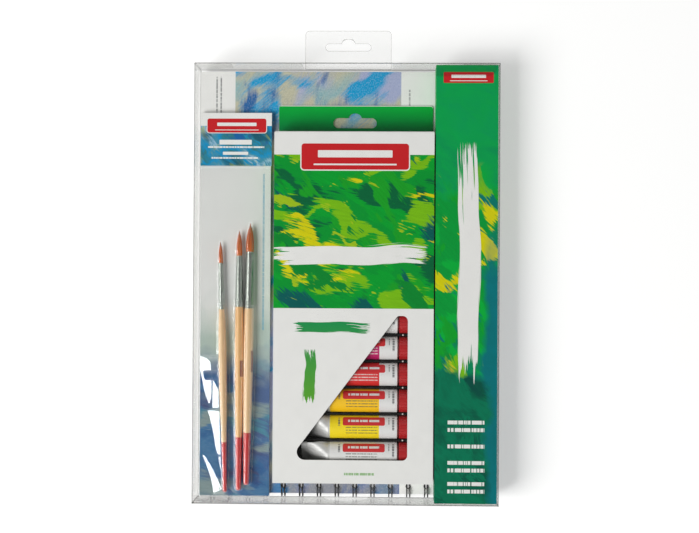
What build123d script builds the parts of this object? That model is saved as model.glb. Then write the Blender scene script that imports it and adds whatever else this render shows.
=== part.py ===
from build123d import *
import os
from dataclasses import dataclass
from math import ceil, cos, pi, radians, sin, sqrt, tan

# Gouache paint set in a clear folding box: a wire-bound pad with a manual behind it,
# a carton of twelve tubes, a pouch of three brushes and a printed side sleeve.
# The set lies on its back. The origin is the middle of the back panel's outer face,
# +Y runs towards the hang tab and +Z out of the front. All sizes are in millimetres.

os.makedirs("parts", exist_ok=True)

# clear outer box
box_width = 213.0
box_height = 307.0
box_depth = 33.0
film = 0.3
fold_radius = 0.55
fold_gap = 0.05
seam_width = 12.0
lid_side_gap = 0.4
tab_width = 62.0
tab_height = 28.0
tab_corner = 3.0
notch_gap = 0.4
tuck_length = 9.0
tuck_lean = 15.0
tuck_side_gap = 3.0
tuck_corner = 5.0
dust_flap_length = 24.5
dust_flap_root_gap = 0.3
dust_flap_hinge_inset = 1.5
dust_flap_taper = 0.45
half_moon_radius = 15.6

# euro slots, one in the clear tab and one in the carton's tab
slot_width = 32.4
slot_height = 5.0
slot_rise = 16.0
dome_width = 9.2
dome_rise = 3.2
carton_slot_width = 30.9
carton_slot_height = 7.3
carton_slot_rise = 7.9
carton_dome_rise = 3.3

# manual behind the pad
seat_gap = 0.3
manual_width = 205.0
manual_height = 285.0
manual_pages_thickness = 1.4
manual_cover_thickness = 0.25
staple_wire = 0.5
staple_length = 12.0
staple_spacing = 150.0

# wire-bound pad
pad_width = 210.0
pad_height = 300.0
pad_middle_y = 0.7
board_thickness = 1.0
sheets_thickness = 4.2
cover_thickness = 0.5
wire_pitch = 12.7
loop_count = 16
wire_diameter = 0.9
loop_radius = 4.5
twin_gap = 2.2
wire_hole = 4.2
hole_edge_distance = 5.8
loop_centre_edge_distance = 2.0
loop_start_angle = 285.0
loop_tip_angle = 226.0
spine_bend = 1.5

# paint carton
carton_width = 111.7
carton_height = 245.4
carton_depth = 20.0
carton_left = -50.6
carton_bottom_y = -139.3
carton_board = 0.45
carton_tab_inset_left = 1.8
carton_tab_inset_right = 0.5
carton_tab_height = 20.3
carton_tab_corner = 2.0
carton_tuck_length = 8.0
window_right = 43.2
window_top = -22.4
window_bottom = -123.0
window_slant_top = 36.1
window_slope_degrees = 53.2
window_right_corner = 3.6
window_left_corner = 5.5
window_top_corner = 2.5

# tray and tubes
tube_count = 12
tube_pitch = 18.45
tube_diameter = 16.6
tubes_below_middle = 0.9
tube_wall = 0.2
tube_axis_height = 9.6
crimp_x = -30.8
shoulder_x = 36.0
taper_length = 18.6
crimp_width = 22.2
crimp_thickness = 1.1
crimp_fold = 4.0
crimp_turn = 45.0
shoulder_length = 2.4
neck_diameter = 7.0
neck_length = 7.5
cap_diameter = 16.4
cap_length = 18.5
cap_gap = 1.4
cap_flutes = 24
flute_depth = 0.3
thread_gap = 0.2
tray_sheet = 0.4
tray_rib_width = 1.2
tray_rib_height = 12.4
tray_end_gap = 0.3
tray_top_gap = 8.9

# brush pouch
pouch_left = -104.4
pouch_width = 50.6
pouch_height = 271.9
pouch_bottom_y = -151.6
pouch_film = 0.12
pouch_height_over_brushes = 8.6
pouch_edge_height = 1.4
pouch_shoulder = 13.5
pouch_flat_from_top = 37.3
pouch_slope_length = 30.0
card_thickness = 0.45
card_margin = 0.6
header_height = 37.6
header_thickness = 0.4

# side sleeve
sleeve_width = 43.2
sleeve_board = 0.45
sleeve_depth = 18.9
sleeve_right_gap = 0.9
sleeve_top_gap = 0.45

# places that follow from the sizes above
wall_end = box_height / 2 - film
inner_half_width = box_width / 2 - film
manual_bottom = film + seat_gap
manual_top = manual_bottom + manual_pages_thickness + 2 * manual_cover_thickness
pad_bottom = manual_top + seat_gap
sheets_bottom = pad_bottom + board_thickness
cover_bottom = sheets_bottom + sheets_thickness
pad_top = cover_bottom + cover_thickness
pad_low_y = pad_middle_y - pad_height / 2
pad_high_y = pad_middle_y + pad_height / 2
loop_centre_y = pad_low_y + loop_centre_edge_distance
loop_centre_z = (pad_bottom + pad_top) / 2
loop_top = loop_centre_z + loop_radius + wire_diameter / 2
carton_back = pad_top + seat_gap
carton_front = carton_back + carton_depth
carton_right = carton_left + carton_width
carton_middle_x = (carton_left + carton_right) / 2
carton_top_y = carton_bottom_y + carton_height
carton_middle_y = (carton_bottom_y + carton_top_y) / 2
over_loops = loop_top + seat_gap


def across(y):
    """The plane that faces down the set at this height, with X to the right and Z up."""
    return Plane.XZ.offset(-y)


def write(piece, name):
    """Labels a finished piece and writes it to its own file."""
    piece.part.label = name
    export_step(piece.part, f"parts/{name}.step")


def euro_slot(middle_x, low_y, width, height, dome, rise):
    """Cuts a hang slot: a bar with round ends and a low dome over its middle."""
    with Locations((middle_x, low_y + height / 2)):
        SlotOverall(width, height, mode=Mode.SUBTRACT)
    with Locations((middle_x, low_y + height)):
        Ellipse(dome / 2, rise, mode=Mode.SUBTRACT)


def plate(middle_x, middle_y, width, height):
    """Draws a plain rectangle at a place in the current sketch."""
    with Locations((middle_x, middle_y)):
        Rectangle(width, height)


# clear box: one folded sheet with a glued seam on the right wall
with BuildPart() as box_body:
    with BuildSketch(across(0)):
        with Locations((0, box_depth / 2)):
            RectangleRounded(box_width, box_depth, fold_radius)
            RectangleRounded(
                box_width - 2 * film, box_depth - 2 * film, fold_radius - film, mode=Mode.SUBTRACT
            )
        plate(
            inner_half_width - film / 2, film + fold_radius + seam_width / 2, film, seam_width
        )
    extrude(amount=wall_end, both=True)
    # the hang tab goes on from the back panel, out of the notch that it leaves in the lid
    with BuildSketch(Plane.XY):
        with Locations((0, wall_end + (film + tab_height) / 2)):
            Rectangle(tab_width, tab_height + film)
        tab_top = wall_end + film + tab_height
        fillet(vertices().filter_by(lambda v: v.Y > tab_top - 1), tab_corner)
        euro_slot(
            0, wall_end + film + slot_rise - slot_height / 2,
            slot_width, slot_height, dome_width, dome_rise,
        )
    extrude(amount=film)
write(box_body, "box_body")

# the lid turns on the back edge and is notched where the tab was cut out of it
lid_width = box_width - 2 * lid_side_gap
lid_reach = box_depth - film - fold_gap
lid_pivot_z = film / 2
with BuildPart() as box_lid:
    with BuildSketch(across(wall_end + film)):
        lid_low = film + fold_gap
        plate(0, (lid_low + lid_reach) / 2, lid_width, lid_reach - lid_low)
    extrude(amount=film)
    with BuildSketch(across(wall_end + film)):
        notch_reach = tab_height + film / 2 + lid_pivot_z + notch_gap
        plate(0, notch_reach / 2, tab_width + 2 * notch_gap, notch_reach)
    extrude(amount=film, mode=Mode.SUBTRACT)
write(box_lid, "box_lid")

# the tuck flap hangs from the lid's front edge and leans in behind the front panel
lean = radians(tuck_lean)
tuck_plane = Plane(
    (0, wall_end - fold_gap - film * sin(lean), lid_reach),
    x_dir=(1, 0, 0), z_dir=(0, sin(lean), -cos(lean)),
)
with BuildPart() as tuck_flap:
    with BuildSketch(tuck_plane):
        plate(0, tuck_length / 2, lid_width - 2 * tuck_side_gap, tuck_length)
        fillet(vertices().filter_by(lambda v: v.Y > tuck_length / 2), tuck_corner)
    extrude(amount=film)
write(tuck_flap, "tuck_flap")


def dust_flap(side):
    """A side wall's end flap, tapered so that it can rise behind the opening lid."""
    root_x = side * (inner_half_width - film - dust_flap_root_gap)
    tip_x = root_x - side * dust_flap_length
    root_low = film + dust_flap_hinge_inset
    root_high = box_depth - film - dust_flap_hinge_inset
    tip_low = root_low + dust_flap_length * dust_flap_taper
    with BuildPart() as flap:
        with BuildSketch(across(wall_end - fold_gap)):
            with BuildLine():
                Polyline(
                    (root_x, root_low), (tip_x, tip_low), (tip_x, root_high), (root_x, root_high),
                    close=True,
                )
            make_face()
        extrude(amount=film)
    return flap


write(dust_flap(-1), "dust_flap_left")
write(dust_flap(1), "dust_flap_right")

# snap-lock bottom: an outer panel with a half-moon cut, an inner panel and two side flaps
with BuildPart() as bottom_panel:
    with BuildSketch(across(-wall_end)):
        plate(0, box_depth / 2, box_width, box_depth)
        with Locations((0, 0)):
            Circle(half_moon_radius, mode=Mode.SUBTRACT)
    extrude(amount=film)
write(bottom_panel, "bottom_panel")

with BuildPart() as bottom_lock_panel:
    with BuildSketch(across(-wall_end + film)):
        lock_depth = box_depth - 2 * film - 2 * fold_gap
        plate(0, box_depth / 2, box_width - 2 * film - 2 * fold_gap - 2 * film, lock_depth)
    extrude(amount=film)
write(bottom_lock_panel, "bottom_lock_panel")


def bottom_flap(side):
    """A side wall's end flap at the bottom, square as it shows through the front."""
    middle_x = side * (inner_half_width - film - fold_gap - dust_flap_length / 2)
    depth = box_depth - 2 * film - 2 * dust_flap_hinge_inset
    with BuildPart() as flap:
        with BuildSketch(across(-wall_end + 2 * film)):
            plate(middle_x, box_depth / 2, dust_flap_length, depth)
        extrude(amount=film)
    return flap


write(bottom_flap(-1), "bottom_flap_left")
write(bottom_flap(1), "bottom_flap_right")

# manual: pages in a folded cover, with two staples through the spine
manual_middle_y = pad_high_y - manual_height / 2
spine_x = -manual_width / 2
with BuildPart() as manual_pages:
    with BuildSketch(Plane.XY.offset(manual_bottom + manual_cover_thickness)):
        pages_width = manual_width - 2 * manual_cover_thickness
        plate(manual_cover_thickness, manual_middle_y, pages_width, manual_height)
    extrude(amount=manual_pages_thickness)
write(manual_pages, "manual_pages")

with BuildPart() as manual_cover:
    with BuildSketch(across(manual_middle_y)):
        manual_thickness = manual_top - manual_bottom
        plate(0, (manual_bottom + manual_top) / 2, manual_width, manual_thickness)
        with Locations((manual_cover_thickness, (manual_bottom + manual_top) / 2)):
            Rectangle(manual_width, manual_pages_thickness, mode=Mode.SUBTRACT)
    extrude(amount=manual_height / 2, both=True)
write(manual_cover, "manual_cover")

with BuildPart() as manual_staples:
    for staple_y in (manual_middle_y - staple_spacing / 2, manual_middle_y + staple_spacing / 2):
        with BuildSketch(Plane.YZ.offset(spine_x)):
            with Locations((staple_y, (manual_bottom + manual_top) / 2)):
                SlotOverall(staple_length, staple_wire)
        extrude(amount=-staple_wire)
write(manual_staples, "manual_staples")

# pad: grey board, block of sheets and printed cover, punched for the twin wire
loop_places = [((i - (loop_count - 1) / 2) * wire_pitch) for i in range(loop_count)]
hole_y = pad_low_y + hole_edge_distance


def punched_leaf(bottom, thickness):
    """One layer of the pad with its row of round holes."""
    with BuildPart() as leaf:
        with BuildSketch(Plane.XY.offset(bottom)):
            plate(0, pad_middle_y, pad_width, pad_height)
            with Locations(*[(x, hole_y) for x in loop_places]):
                Circle(wire_hole / 2, mode=Mode.SUBTRACT)
        extrude(amount=thickness)
    return leaf


write(punched_leaf(pad_bottom, board_thickness), "pad_board")
write(punched_leaf(sheets_bottom, sheets_thickness), "pad_sheets")
write(punched_leaf(cover_bottom, cover_thickness), "pad_cover")


def loop_point(x, angle):
    """A point of the wire's centre line on the loop at x, by its angle from +Y."""
    turn = radians(angle)
    return Vector(
        x, loop_centre_y + loop_radius * cos(turn), loop_centre_z + loop_radius * sin(turn)
    )


def loop_heading(angle):
    """The way that the loop runs at this angle, towards larger angles."""
    turn = radians(angle)
    return Vector(0, -sin(turn), cos(turn))


def loop_arcs(x, first, last):
    """Half the hairpin: the round of the loop in stretches of a quarter turn or less."""
    steps = ceil(abs(last - first) / 90)
    stops = [first + (last - first) * i / steps for i in range(steps + 1)]
    for a, b in zip(stops, stops[1:]):
        ThreePointArc(loop_point(x, a), loop_point(x, (a + b) / 2), loop_point(x, b))


def bend(corner_from, heading_in, heading_out, radius):
    """A quarter turn of the wire from one heading to another. Returns its end."""
    ahead = heading_in * radius * sin(pi / 4)
    aside = heading_out * radius * (1 - cos(pi / 4))
    middle = corner_from + ahead + aside
    end = corner_from + heading_in * radius + heading_out * radius
    ThreePointArc(corner_from, middle, end)
    return end


# twin wire: hairpin loops through the holes, joined by a straight spine behind the board
along_x = Vector(1, 0, 0)
start = loop_start_angle
tip = 360 + loop_tip_angle
with BuildPart() as pad_wire:
    with BuildLine() as wire_path:
        end = None
        for loop_x in loop_places:
            left = loop_x - twin_gap / 2
            right = loop_x + twin_gap / 2
            foot = loop_point(left, start)
            spine_end = foot - loop_heading(start) * spine_bend - along_x * spine_bend
            if end is None:
                end = spine_end - along_x * spine_bend
            Line(end, spine_end)
            bend(spine_end, along_x, loop_heading(start), spine_bend)
            loop_arcs(left, start, tip)
            top = bend(loop_point(left, tip), loop_heading(tip), along_x, twin_gap / 2)
            bend(top, along_x, loop_heading(tip) * -1, twin_gap / 2)
            loop_arcs(right, tip, start)
            end = bend(loop_point(right, start), loop_heading(start) * -1, along_x, spine_bend)
        Line(end, end + along_x * spine_bend)
    with BuildSketch(Plane(wire_path.line @ 0, z_dir=wire_path.line % 0)):
        Circle(wire_diameter / 2)
    sweep(path=wire_path.line)
write(pad_wire, "pad_wire")
tip_reach = loop_radius * radians(loop_start_angle - loop_tip_angle) - twin_gap / 2 - spine_bend
print("wire: gap between loop tips and spine", round(tip_reach - wire_diameter, 2))
print("wire: gap inside a hairpin", round(twin_gap - wire_diameter, 2))

# carton: a board tube with a windowed front and a doubled tab on its back panel
carton_wall_end = carton_top_y - carton_board
carton_wall_start = carton_bottom_y + carton_board
carton_middle_z = (carton_back + carton_front) / 2
carton_tab_left = carton_left + carton_tab_inset_left
carton_tab_right = carton_right - carton_tab_inset_right
slope = tan(radians(window_slope_degrees))
window_left = window_slant_top - (window_top - window_bottom) / slope
with BuildPart() as carton_body:
    with BuildSketch(across((carton_wall_start + carton_wall_end) / 2)):
        with Locations((carton_middle_x, carton_middle_z)):
            Rectangle(carton_width, carton_depth)
            Rectangle(
                carton_width - 2 * carton_board, carton_depth - 2 * carton_board, mode=Mode.SUBTRACT
            )
    extrude(amount=(carton_wall_end - carton_wall_start) / 2, both=True)
    with BuildSketch(Plane.XY.offset(carton_front)):
        with BuildLine():
            Polyline(
                (window_slant_top, window_top), (window_right, window_top),
                (window_right, window_bottom), (window_left, window_bottom), close=True,
            )
        make_face()
        top_corners = vertices().filter_by(lambda v: v.Y > window_top - 0.01)
        fillet(top_corners.sort_by(Axis.X)[0], window_top_corner)
        fillet(vertices().sort_by(Axis.X)[0], window_left_corner)
        fillet(vertices().filter_by(lambda v: v.X > window_right - 0.01), window_right_corner)
    extrude(amount=-carton_board, mode=Mode.SUBTRACT)
    with BuildSketch(Plane.XY.offset(carton_back)):
        tab_middle_x = (carton_tab_left + carton_tab_right) / 2
        tab_low = carton_wall_end
        tab_high = carton_top_y + carton_tab_height
        carton_tab_width = carton_tab_right - carton_tab_left
        plate(tab_middle_x, (tab_low + tab_high) / 2, carton_tab_width, tab_high - tab_low)
        fillet(vertices().filter_by(lambda v: v.Y > tab_high - 1), carton_tab_corner)
        euro_slot(
            carton_middle_x, carton_top_y + carton_slot_rise - carton_slot_height / 2,
            carton_slot_width, carton_slot_height, dome_width, carton_dome_rise,
        )
    extrude(amount=2 * carton_board)
write(carton_body, "carton_body")

# the carton's end panel turns on the front panel's top edge and tucks in at the back
flap_low = carton_back + 2 * carton_board + 2 * fold_gap
flap_high = carton_front - carton_board
flap_width = carton_width - 2 * carton_board
carton_tuck_plane = Plane(
    (carton_middle_x, carton_wall_end + carton_board / 2, flap_low),
    x_dir=(1, 0, 0), z_dir=(0, -sin(lean), -cos(lean)),
)
with BuildPart() as carton_lid:
    with BuildSketch(across(carton_top_y)):
        plate(carton_middle_x, (flap_low + flap_high) / 2, flap_width, flap_high - flap_low)
    extrude(amount=carton_board)
    with BuildSketch(carton_tuck_plane):
        plate(0, carton_tuck_length / 2, flap_width - 2 * carton_board, carton_tuck_length)
    extrude(amount=-carton_board)
write(carton_lid, "carton_lid")

with BuildPart() as carton_bottom:
    with BuildSketch(across(carton_bottom_y + carton_board)):
        plate(carton_middle_x, carton_middle_z, carton_width, carton_depth)
    extrude(amount=carton_board)
write(carton_bottom, "carton_bottom")

# tray: one formed sheet, folded up into a hollow rib on each side of every tube
tray_bottom = carton_back + carton_board
tray_left = carton_left + carton_board + tray_end_gap
tray_right = carton_right - carton_board - tray_end_gap
tray_low = carton_bottom_y + carton_board + tray_end_gap
tray_high = carton_top_y - tray_top_gap
tube_middle_y = carton_middle_y - tubes_below_middle
tube_places = [tube_middle_y + (i - (tube_count - 1) / 2) * tube_pitch for i in range(tube_count)]
rib_places = [tube_places[0] - tube_pitch / 2 + i * tube_pitch for i in range(tube_count + 1)]
tray_middle_x = (tray_left + tray_right) / 2
tray_width = tray_right - tray_left
with BuildPart() as tube_tray:
    with BuildSketch(Plane.XY.offset(tray_bottom)):
        plate(tray_middle_x, (tray_low + tray_high) / 2, tray_width, tray_high - tray_low)
    extrude(amount=tray_sheet)
    with BuildSketch(Plane.XY.offset(tray_bottom)):
        for rib_y in rib_places:
            plate(tray_middle_x, rib_y, tray_width, tray_rib_width)
    extrude(amount=tray_rib_height)
    with BuildSketch(Plane.XY.offset(tray_bottom)):
        for rib_y in rib_places:
            plate(
                tray_middle_x, rib_y, tray_width - 2 * tray_sheet, tray_rib_width - 2 * tray_sheet
            )
    extrude(amount=tray_rib_height - tray_sheet, mode=Mode.SUBTRACT)
write(tube_tray, "tube_tray")

# paint tubes: a round aluminium body flattened to a turned crimp, with a shoulder and neck
tube_z = carton_back + tube_axis_height
tube_radius = tube_diameter / 2
taper_x = crimp_x + taper_length
crimp_fold_x = crimp_x + crimp_fold


def tube_section(share, radius, thickness):
    """Half axes of the flattened tube, with the round tube's girth kept nearly the same."""
    low = radius + (thickness / 2 - radius) * share
    wide = sqrt(2 * radius**2 - low**2)
    return min(wide, crimp_width / 2 - (tube_radius - radius)), low


def tube_plane(x, middle_y):
    """The plane across a tube at x, turned about the tube's axis as its crimp is."""
    turn = radians(crimp_turn)
    return Plane((x, middle_y, tube_z), x_dir=(0, cos(turn), sin(turn)), z_dir=(1, 0, 0))


def tube_blank(middle_y, inset):
    """The closed form of a tube, drawn in by inset all over for the paint inside it."""
    radius = tube_radius - inset
    thickness = crimp_thickness - 2 * inset
    flat_x = crimp_fold_x + inset
    with BuildPart() as blank:
        for share in (0, 0.25, 0.5, 0.75, 1):
            wide, low = tube_section(share, radius, thickness)
            with BuildSketch(tube_plane(taper_x + (flat_x - taper_x) * share, middle_y)):
                Ellipse(wide, low)
        loft()
        with BuildSketch(tube_plane(taper_x, middle_y)):
            Circle(radius)
        extrude(amount=shoulder_x - taper_x - inset)
    return blank


def tube_skin(middle_y, paint):
    """A tube's skin: body, folded crimp, shoulder and threaded neck, hollow for the paint."""
    blank = tube_blank(middle_y, 0)
    with BuildPart() as skin:
        add(blank.part)
        with BuildSketch(tube_plane(shoulder_x, middle_y)):
            Circle(tube_radius)
        with BuildSketch(tube_plane(shoulder_x + shoulder_length, middle_y)):
            Circle(neck_diameter / 2)
        loft()
        with BuildSketch(tube_plane(shoulder_x + shoulder_length, middle_y)):
            Circle(neck_diameter / 2)
        extrude(amount=neck_length)
        with BuildSketch(tube_plane(crimp_x, middle_y)):
            Rectangle(crimp_width, crimp_thickness)
        extrude(amount=crimp_fold)
        add(paint.part, mode=Mode.SUBTRACT)
    return skin


def tube_cap(middle_y):
    """A wide screw cap: fluted outside, hollow round the shoulder, bored for the neck."""
    cap_x = shoulder_x + cap_gap
    mouth = Plane((cap_x, middle_y, tube_z), x_dir=(0, 1, 0), z_dir=(1, 0, 0))
    cap_radius = cap_diameter / 2
    shoulder_slope = (tube_radius - neck_diameter / 2) / shoulder_length
    hollow_radius = tube_radius - shoulder_slope * cap_gap + thread_gap
    with BuildPart() as cap:
        with BuildSketch(mouth):
            Circle(cap_radius)
            with PolarLocations(cap_radius, cap_flutes):
                Circle(flute_depth, mode=Mode.SUBTRACT)
        extrude(amount=cap_length)
        with BuildSketch(mouth):
            Circle(hollow_radius)
        with BuildSketch(mouth.offset(shoulder_length)):
            Circle(neck_diameter / 2 + thread_gap)
        loft(mode=Mode.SUBTRACT)
        with BuildSketch(mouth.offset(shoulder_length)):
            Circle(neck_diameter / 2 + thread_gap)
        extrude(amount=neck_length, mode=Mode.SUBTRACT)
    return cap


paint_solids = []
for number, place in enumerate(reversed(tube_places), 1):
    paint = tube_blank(place, tube_wall)
    write(tube_skin(place, paint), f"tube_{number:02d}")
    write(tube_cap(place), f"cap_{number:02d}")
    paint_solids.append(paint.part.solid())
with BuildPart() as paint_fill:
    add(paint_solids)
write(paint_fill, "paint_fill")

# brush pouch: clear film bag over a backing card, with a folded header card on its top edge
pouch_back = over_loops
pouch_middle_x = pouch_left + pouch_width / 2
pouch_top_y = pouch_bottom_y + pouch_height
card_bottom = pouch_back + pouch_film + fold_gap
card_top = card_bottom + card_thickness


def pouch_section(rise, inset):
    """Corners of the bag's section: flat behind, sloped up to the brushes, flat on them."""
    half = pouch_width / 2 - inset
    shoulder = half - pouch_shoulder
    low = pouch_back + inset
    edge = pouch_back + pouch_edge_height - inset
    high = pouch_back + rise - inset
    return [
        (pouch_middle_x - half, low), (pouch_middle_x + half, low), (pouch_middle_x + half, edge),
        (pouch_middle_x + shoulder, high), (pouch_middle_x - shoulder, high),
        (pouch_middle_x - half, edge),
    ]


def pouch_blank(inset):
    """The bag's closed form: full over the brushes, sloping down to flat under the header."""
    flat_y = pouch_top_y - pouch_flat_from_top
    full_y = flat_y - pouch_slope_length
    full = pouch_height_over_brushes
    flat = pouch_edge_height + 2 * fold_gap
    stops = (
        (pouch_bottom_y + inset, full), (full_y, full),
        (flat_y, flat), (pouch_top_y - inset, flat),
    )
    with BuildPart() as blank:
        for stretch in zip(stops, stops[1:]):
            for y, rise in stretch:
                with BuildSketch(across(y)):
                    with BuildLine():
                        Polyline(*pouch_section(rise, inset), close=True)
                    make_face()
            loft(ruled=True)
    return blank


pouch_outside = pouch_blank(0)
pouch_inside = pouch_blank(pouch_film)
with BuildPart() as brush_pouch:
    add(pouch_outside.part)
    add(pouch_inside.part, mode=Mode.SUBTRACT)
write(brush_pouch, "brush_pouch")

with BuildPart() as brush_card:
    with BuildSketch(Plane.XY.offset(card_bottom)):
        plate(
            pouch_middle_x, pouch_bottom_y + pouch_height / 2,
            pouch_width - 2 * card_margin, pouch_height - 2 * card_margin,
        )
    extrude(amount=card_thickness)
write(brush_card, "brush_card")

with BuildPart() as brush_header:
    header_low = pouch_back - fold_gap - header_thickness
    header_high = pouch_back + pouch_edge_height + 3 * fold_gap + header_thickness
    header_middle_y = pouch_top_y + fold_gap + header_thickness - header_height / 2
    header_middle_z = (header_low + header_high) / 2
    with BuildSketch(Plane.YZ.offset(pouch_middle_x)):
        plate(header_middle_y, header_middle_z, header_height, header_high - header_low)
        slit_height = header_high - header_low - 2 * header_thickness
        with Locations((header_middle_y - header_thickness, header_middle_z)):
            Rectangle(header_height, slit_height, mode=Mode.SUBTRACT)
    extrude(amount=pouch_width / 2, both=True)
write(brush_header, "brush_header")

# brushes: a turned wooden handle with a dipped end, a drawn ferrule and a bundle of bristles
@dataclass
class Brush:
    """One brush: where its handle ends and how it leans, its lengths from there and its radii."""

    end_x: float
    end_y: float
    lean_degrees: float
    dip_end: float
    foot: float
    mouth: float
    tip: float
    end_radius: float
    dip_radius: float
    belly_radius: float
    foot_radius: float
    mouth_radius: float
    strands: int


brushes = {
    "a": Brush(
        end_x=-85.4, end_y=-148.2, lean_degrees=-1.35,
        dip_end=35.5, foot=129.4, mouth=162.2, tip=177.6,
        end_radius=1.5, dip_radius=1.95, belly_radius=2.95, foot_radius=2.0, mouth_radius=1.7,
        strands=84,
    ),
    "b": Brush(
        end_x=-75.8, end_y=-146.9, lean_degrees=-0.1,
        dip_end=37.6, foot=129.9, mouth=166.0, tip=184.3,
        end_radius=1.9, dip_radius=2.4, belly_radius=3.15, foot_radius=2.9, mouth_radius=2.15,
        strands=100,
    ),
    "c": Brush(
        end_x=-70.3, end_y=-143.0, lean_degrees=0.62,
        dip_end=36.6, foot=125.0, mouth=164.9, tip=185.4,
        end_radius=2.0, dip_radius=2.7, belly_radius=3.4, foot_radius=3.2, mouth_radius=2.8,
        strands=116,
    ),
}
brush_gap = 0.15
ferrule_wall = 0.25
tenon_length = 14.0
belly_place = 0.8
bead_height = 0.25
bead_places = (2.4, 4.6)
strand_share = 0.45
strand_root = 1.2
belly_share = 0.28
belly_swell = 1.12
waist_share = 0.68
waist_scale = 0.62
tip_scale = 0.06


def brush_plane(brush):
    """The plane of a brush's axis: its Y runs up the handle and its Z is the set's."""
    turn = radians(brush.lean_degrees)
    return Plane(
        (brush.end_x, brush.end_y, card_top + brush_gap + brush.belly_radius),
        x_dir=(cos(turn), -sin(turn), 0), z_dir=(0, 0, 1),
    )


def ferrule_radius(brush, along):
    """The ferrule's outer radius at a length from its foot: it is drawn in to its mouth."""
    drawn_in = (brush.foot_radius - brush.mouth_radius) / (brush.mouth - brush.foot)
    return brush.foot_radius - drawn_in * along


def brush_handle(brush):
    """A wooden handle, swelling to its belly, with a tenon up inside the ferrule."""
    plane = brush_plane(brush)
    nose_radius = brush.end_radius
    tenon_foot = brush.foot_radius - ferrule_wall - fold_gap
    tenon_end = ferrule_radius(brush, tenon_length) - ferrule_wall - 2 * fold_gap
    tenon_y = brush.foot + tenon_length
    with BuildPart() as handle:
        with BuildSketch(plane):
            with BuildLine():
                nose = ThreePointArc(
                    (0, 0), (nose_radius * sin(pi / 4), nose_radius * (1 - cos(pi / 4))),
                    (nose_radius, nose_radius),
                )
                side = Spline(
                    nose @ 1, (brush.dip_radius, brush.dip_end),
                    (brush.belly_radius, brush.foot * belly_place), (brush.foot_radius, brush.foot),
                )
                Polyline(
                    side @ 1, (tenon_foot, brush.foot), (tenon_end, tenon_y), (0, tenon_y), (0, 0)
                )
            make_face()
        revolve(axis=Axis(plane.origin, plane.y_dir))
    return handle


def brush_ferrule(brush):
    """A metal sleeve drawn narrower to its mouth, with two pressed beads at its foot."""
    plane = brush_plane(brush)
    low = brush.foot + fold_gap
    with BuildPart() as ferrule:
        with BuildSketch(plane):
            with BuildLine():
                outline = [(brush.foot_radius - ferrule_wall, low), (brush.foot_radius, low)]
                for bead in bead_places:
                    radius = ferrule_radius(brush, bead)
                    middle = brush.foot + bead
                    outline += [
                        (radius, middle - 2 * bead_height), (radius + bead_height, middle),
                        (radius, middle + 2 * bead_height),
                    ]
                outline.append((brush.mouth_radius, brush.mouth))
                outline.append((brush.mouth_radius - ferrule_wall, brush.mouth))
                Polyline(*outline, close=True)
            make_face()
        revolve(axis=Axis(plane.origin, plane.y_dir))
    return ferrule


def strand(plane, u, v, spin, stops, reach):
    """One three-sided bristle: its section shrinks with the head's, so none cross."""
    wires = []
    for y, radius in stops:
        corners = [
            plane.from_local_coords(
                Vector(
                    radius * (u + reach * cos(spin + i * 2 * pi / 3)), y,
                    radius * (v + reach * sin(spin + i * 2 * pi / 3)),
                )
            )
            for i in range(3)
        ]
        wires.append(Wire.make_polygon(corners))
    return Solid.make_loft(wires, ruled=True)


def brush_head(brush):
    """A round pointed head: bristles in a sunflower pattern on the slice that holds them."""
    root_radius = brush.mouth_radius - ferrule_wall - fold_gap
    plane = brush_plane(brush)
    length = brush.tip - brush.mouth
    stops = [
        (brush.mouth - strand_root / 2, root_radius),
        (brush.mouth + length * belly_share, root_radius * belly_swell),
        (brush.mouth + length * waist_share, root_radius * waist_scale),
        (brush.tip, root_radius * tip_scale),
    ]
    golden = pi * (3 - sqrt(5))
    reach = strand_share * sqrt(pi / brush.strands)
    strands = []
    for i in range(brush.strands):
        out = sqrt((i + 0.5) / brush.strands) * (1 - reach)
        u = out * cos(i * golden)
        v = out * sin(i * golden)
        strands.append(strand(plane, u, v, i * golden, stops, reach))
    root_middle = plane.from_local_coords(Vector(0, brush.mouth - strand_root, 0))
    with BuildPart() as head:
        with BuildSketch(Plane(root_middle, x_dir=plane.x_dir, z_dir=plane.y_dir)):
            Circle(root_radius)
        extrude(amount=strand_root)
        add(strands, clean=False)
    return head


for letter, brush in brushes.items():
    write(brush_handle(brush), f"brush_{letter}_handle")
    write(brush_ferrule(brush), f"brush_{letter}_ferrule")
    write(brush_head(brush), f"brush_{letter}_head")

# side sleeve: a printed board tube that fills the right side of the box
sleeve_right = inner_half_width - sleeve_right_gap
sleeve_middle_x = sleeve_right - sleeve_width / 2
sleeve_low_y = -wall_end + 2 * film + seat_gap
sleeve_high_y = wall_end - film - fold_gap - sleeve_top_gap
with BuildPart() as side_sleeve:
    with BuildSketch(across((sleeve_low_y + sleeve_high_y) / 2)):
        with Locations((sleeve_middle_x, over_loops + sleeve_depth / 2)):
            Rectangle(sleeve_width, sleeve_depth)
            Rectangle(
                sleeve_width - 2 * sleeve_board, sleeve_depth - 2 * sleeve_board,
                mode=Mode.SUBTRACT,
            )
    extrude(amount=(sleeve_high_y - sleeve_low_y) / 2, both=True)
write(side_sleeve, "side_sleeve")
print("stack: pad", round(pad_bottom, 2), round(pad_top, 2), "loops", round(loop_top, 2))
print("carton", round(carton_back, 2), round(carton_front, 2))
print("sleeve front", round(over_loops + sleeve_depth, 2))
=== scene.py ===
from functools import reduce
from math import cos, pi, sin, sqrt

import bpy
import numpy as np
from bpy.props import FloatProperty, FloatVectorProperty, IntProperty, PointerProperty
from bpy.types import Operator, Panel, PropertyGroup
from mathutils import Color, Matrix, Vector
from mathutils.bvhtree import BVHTree
from mathutils.geometry import delaunay_2d_cdt


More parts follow.
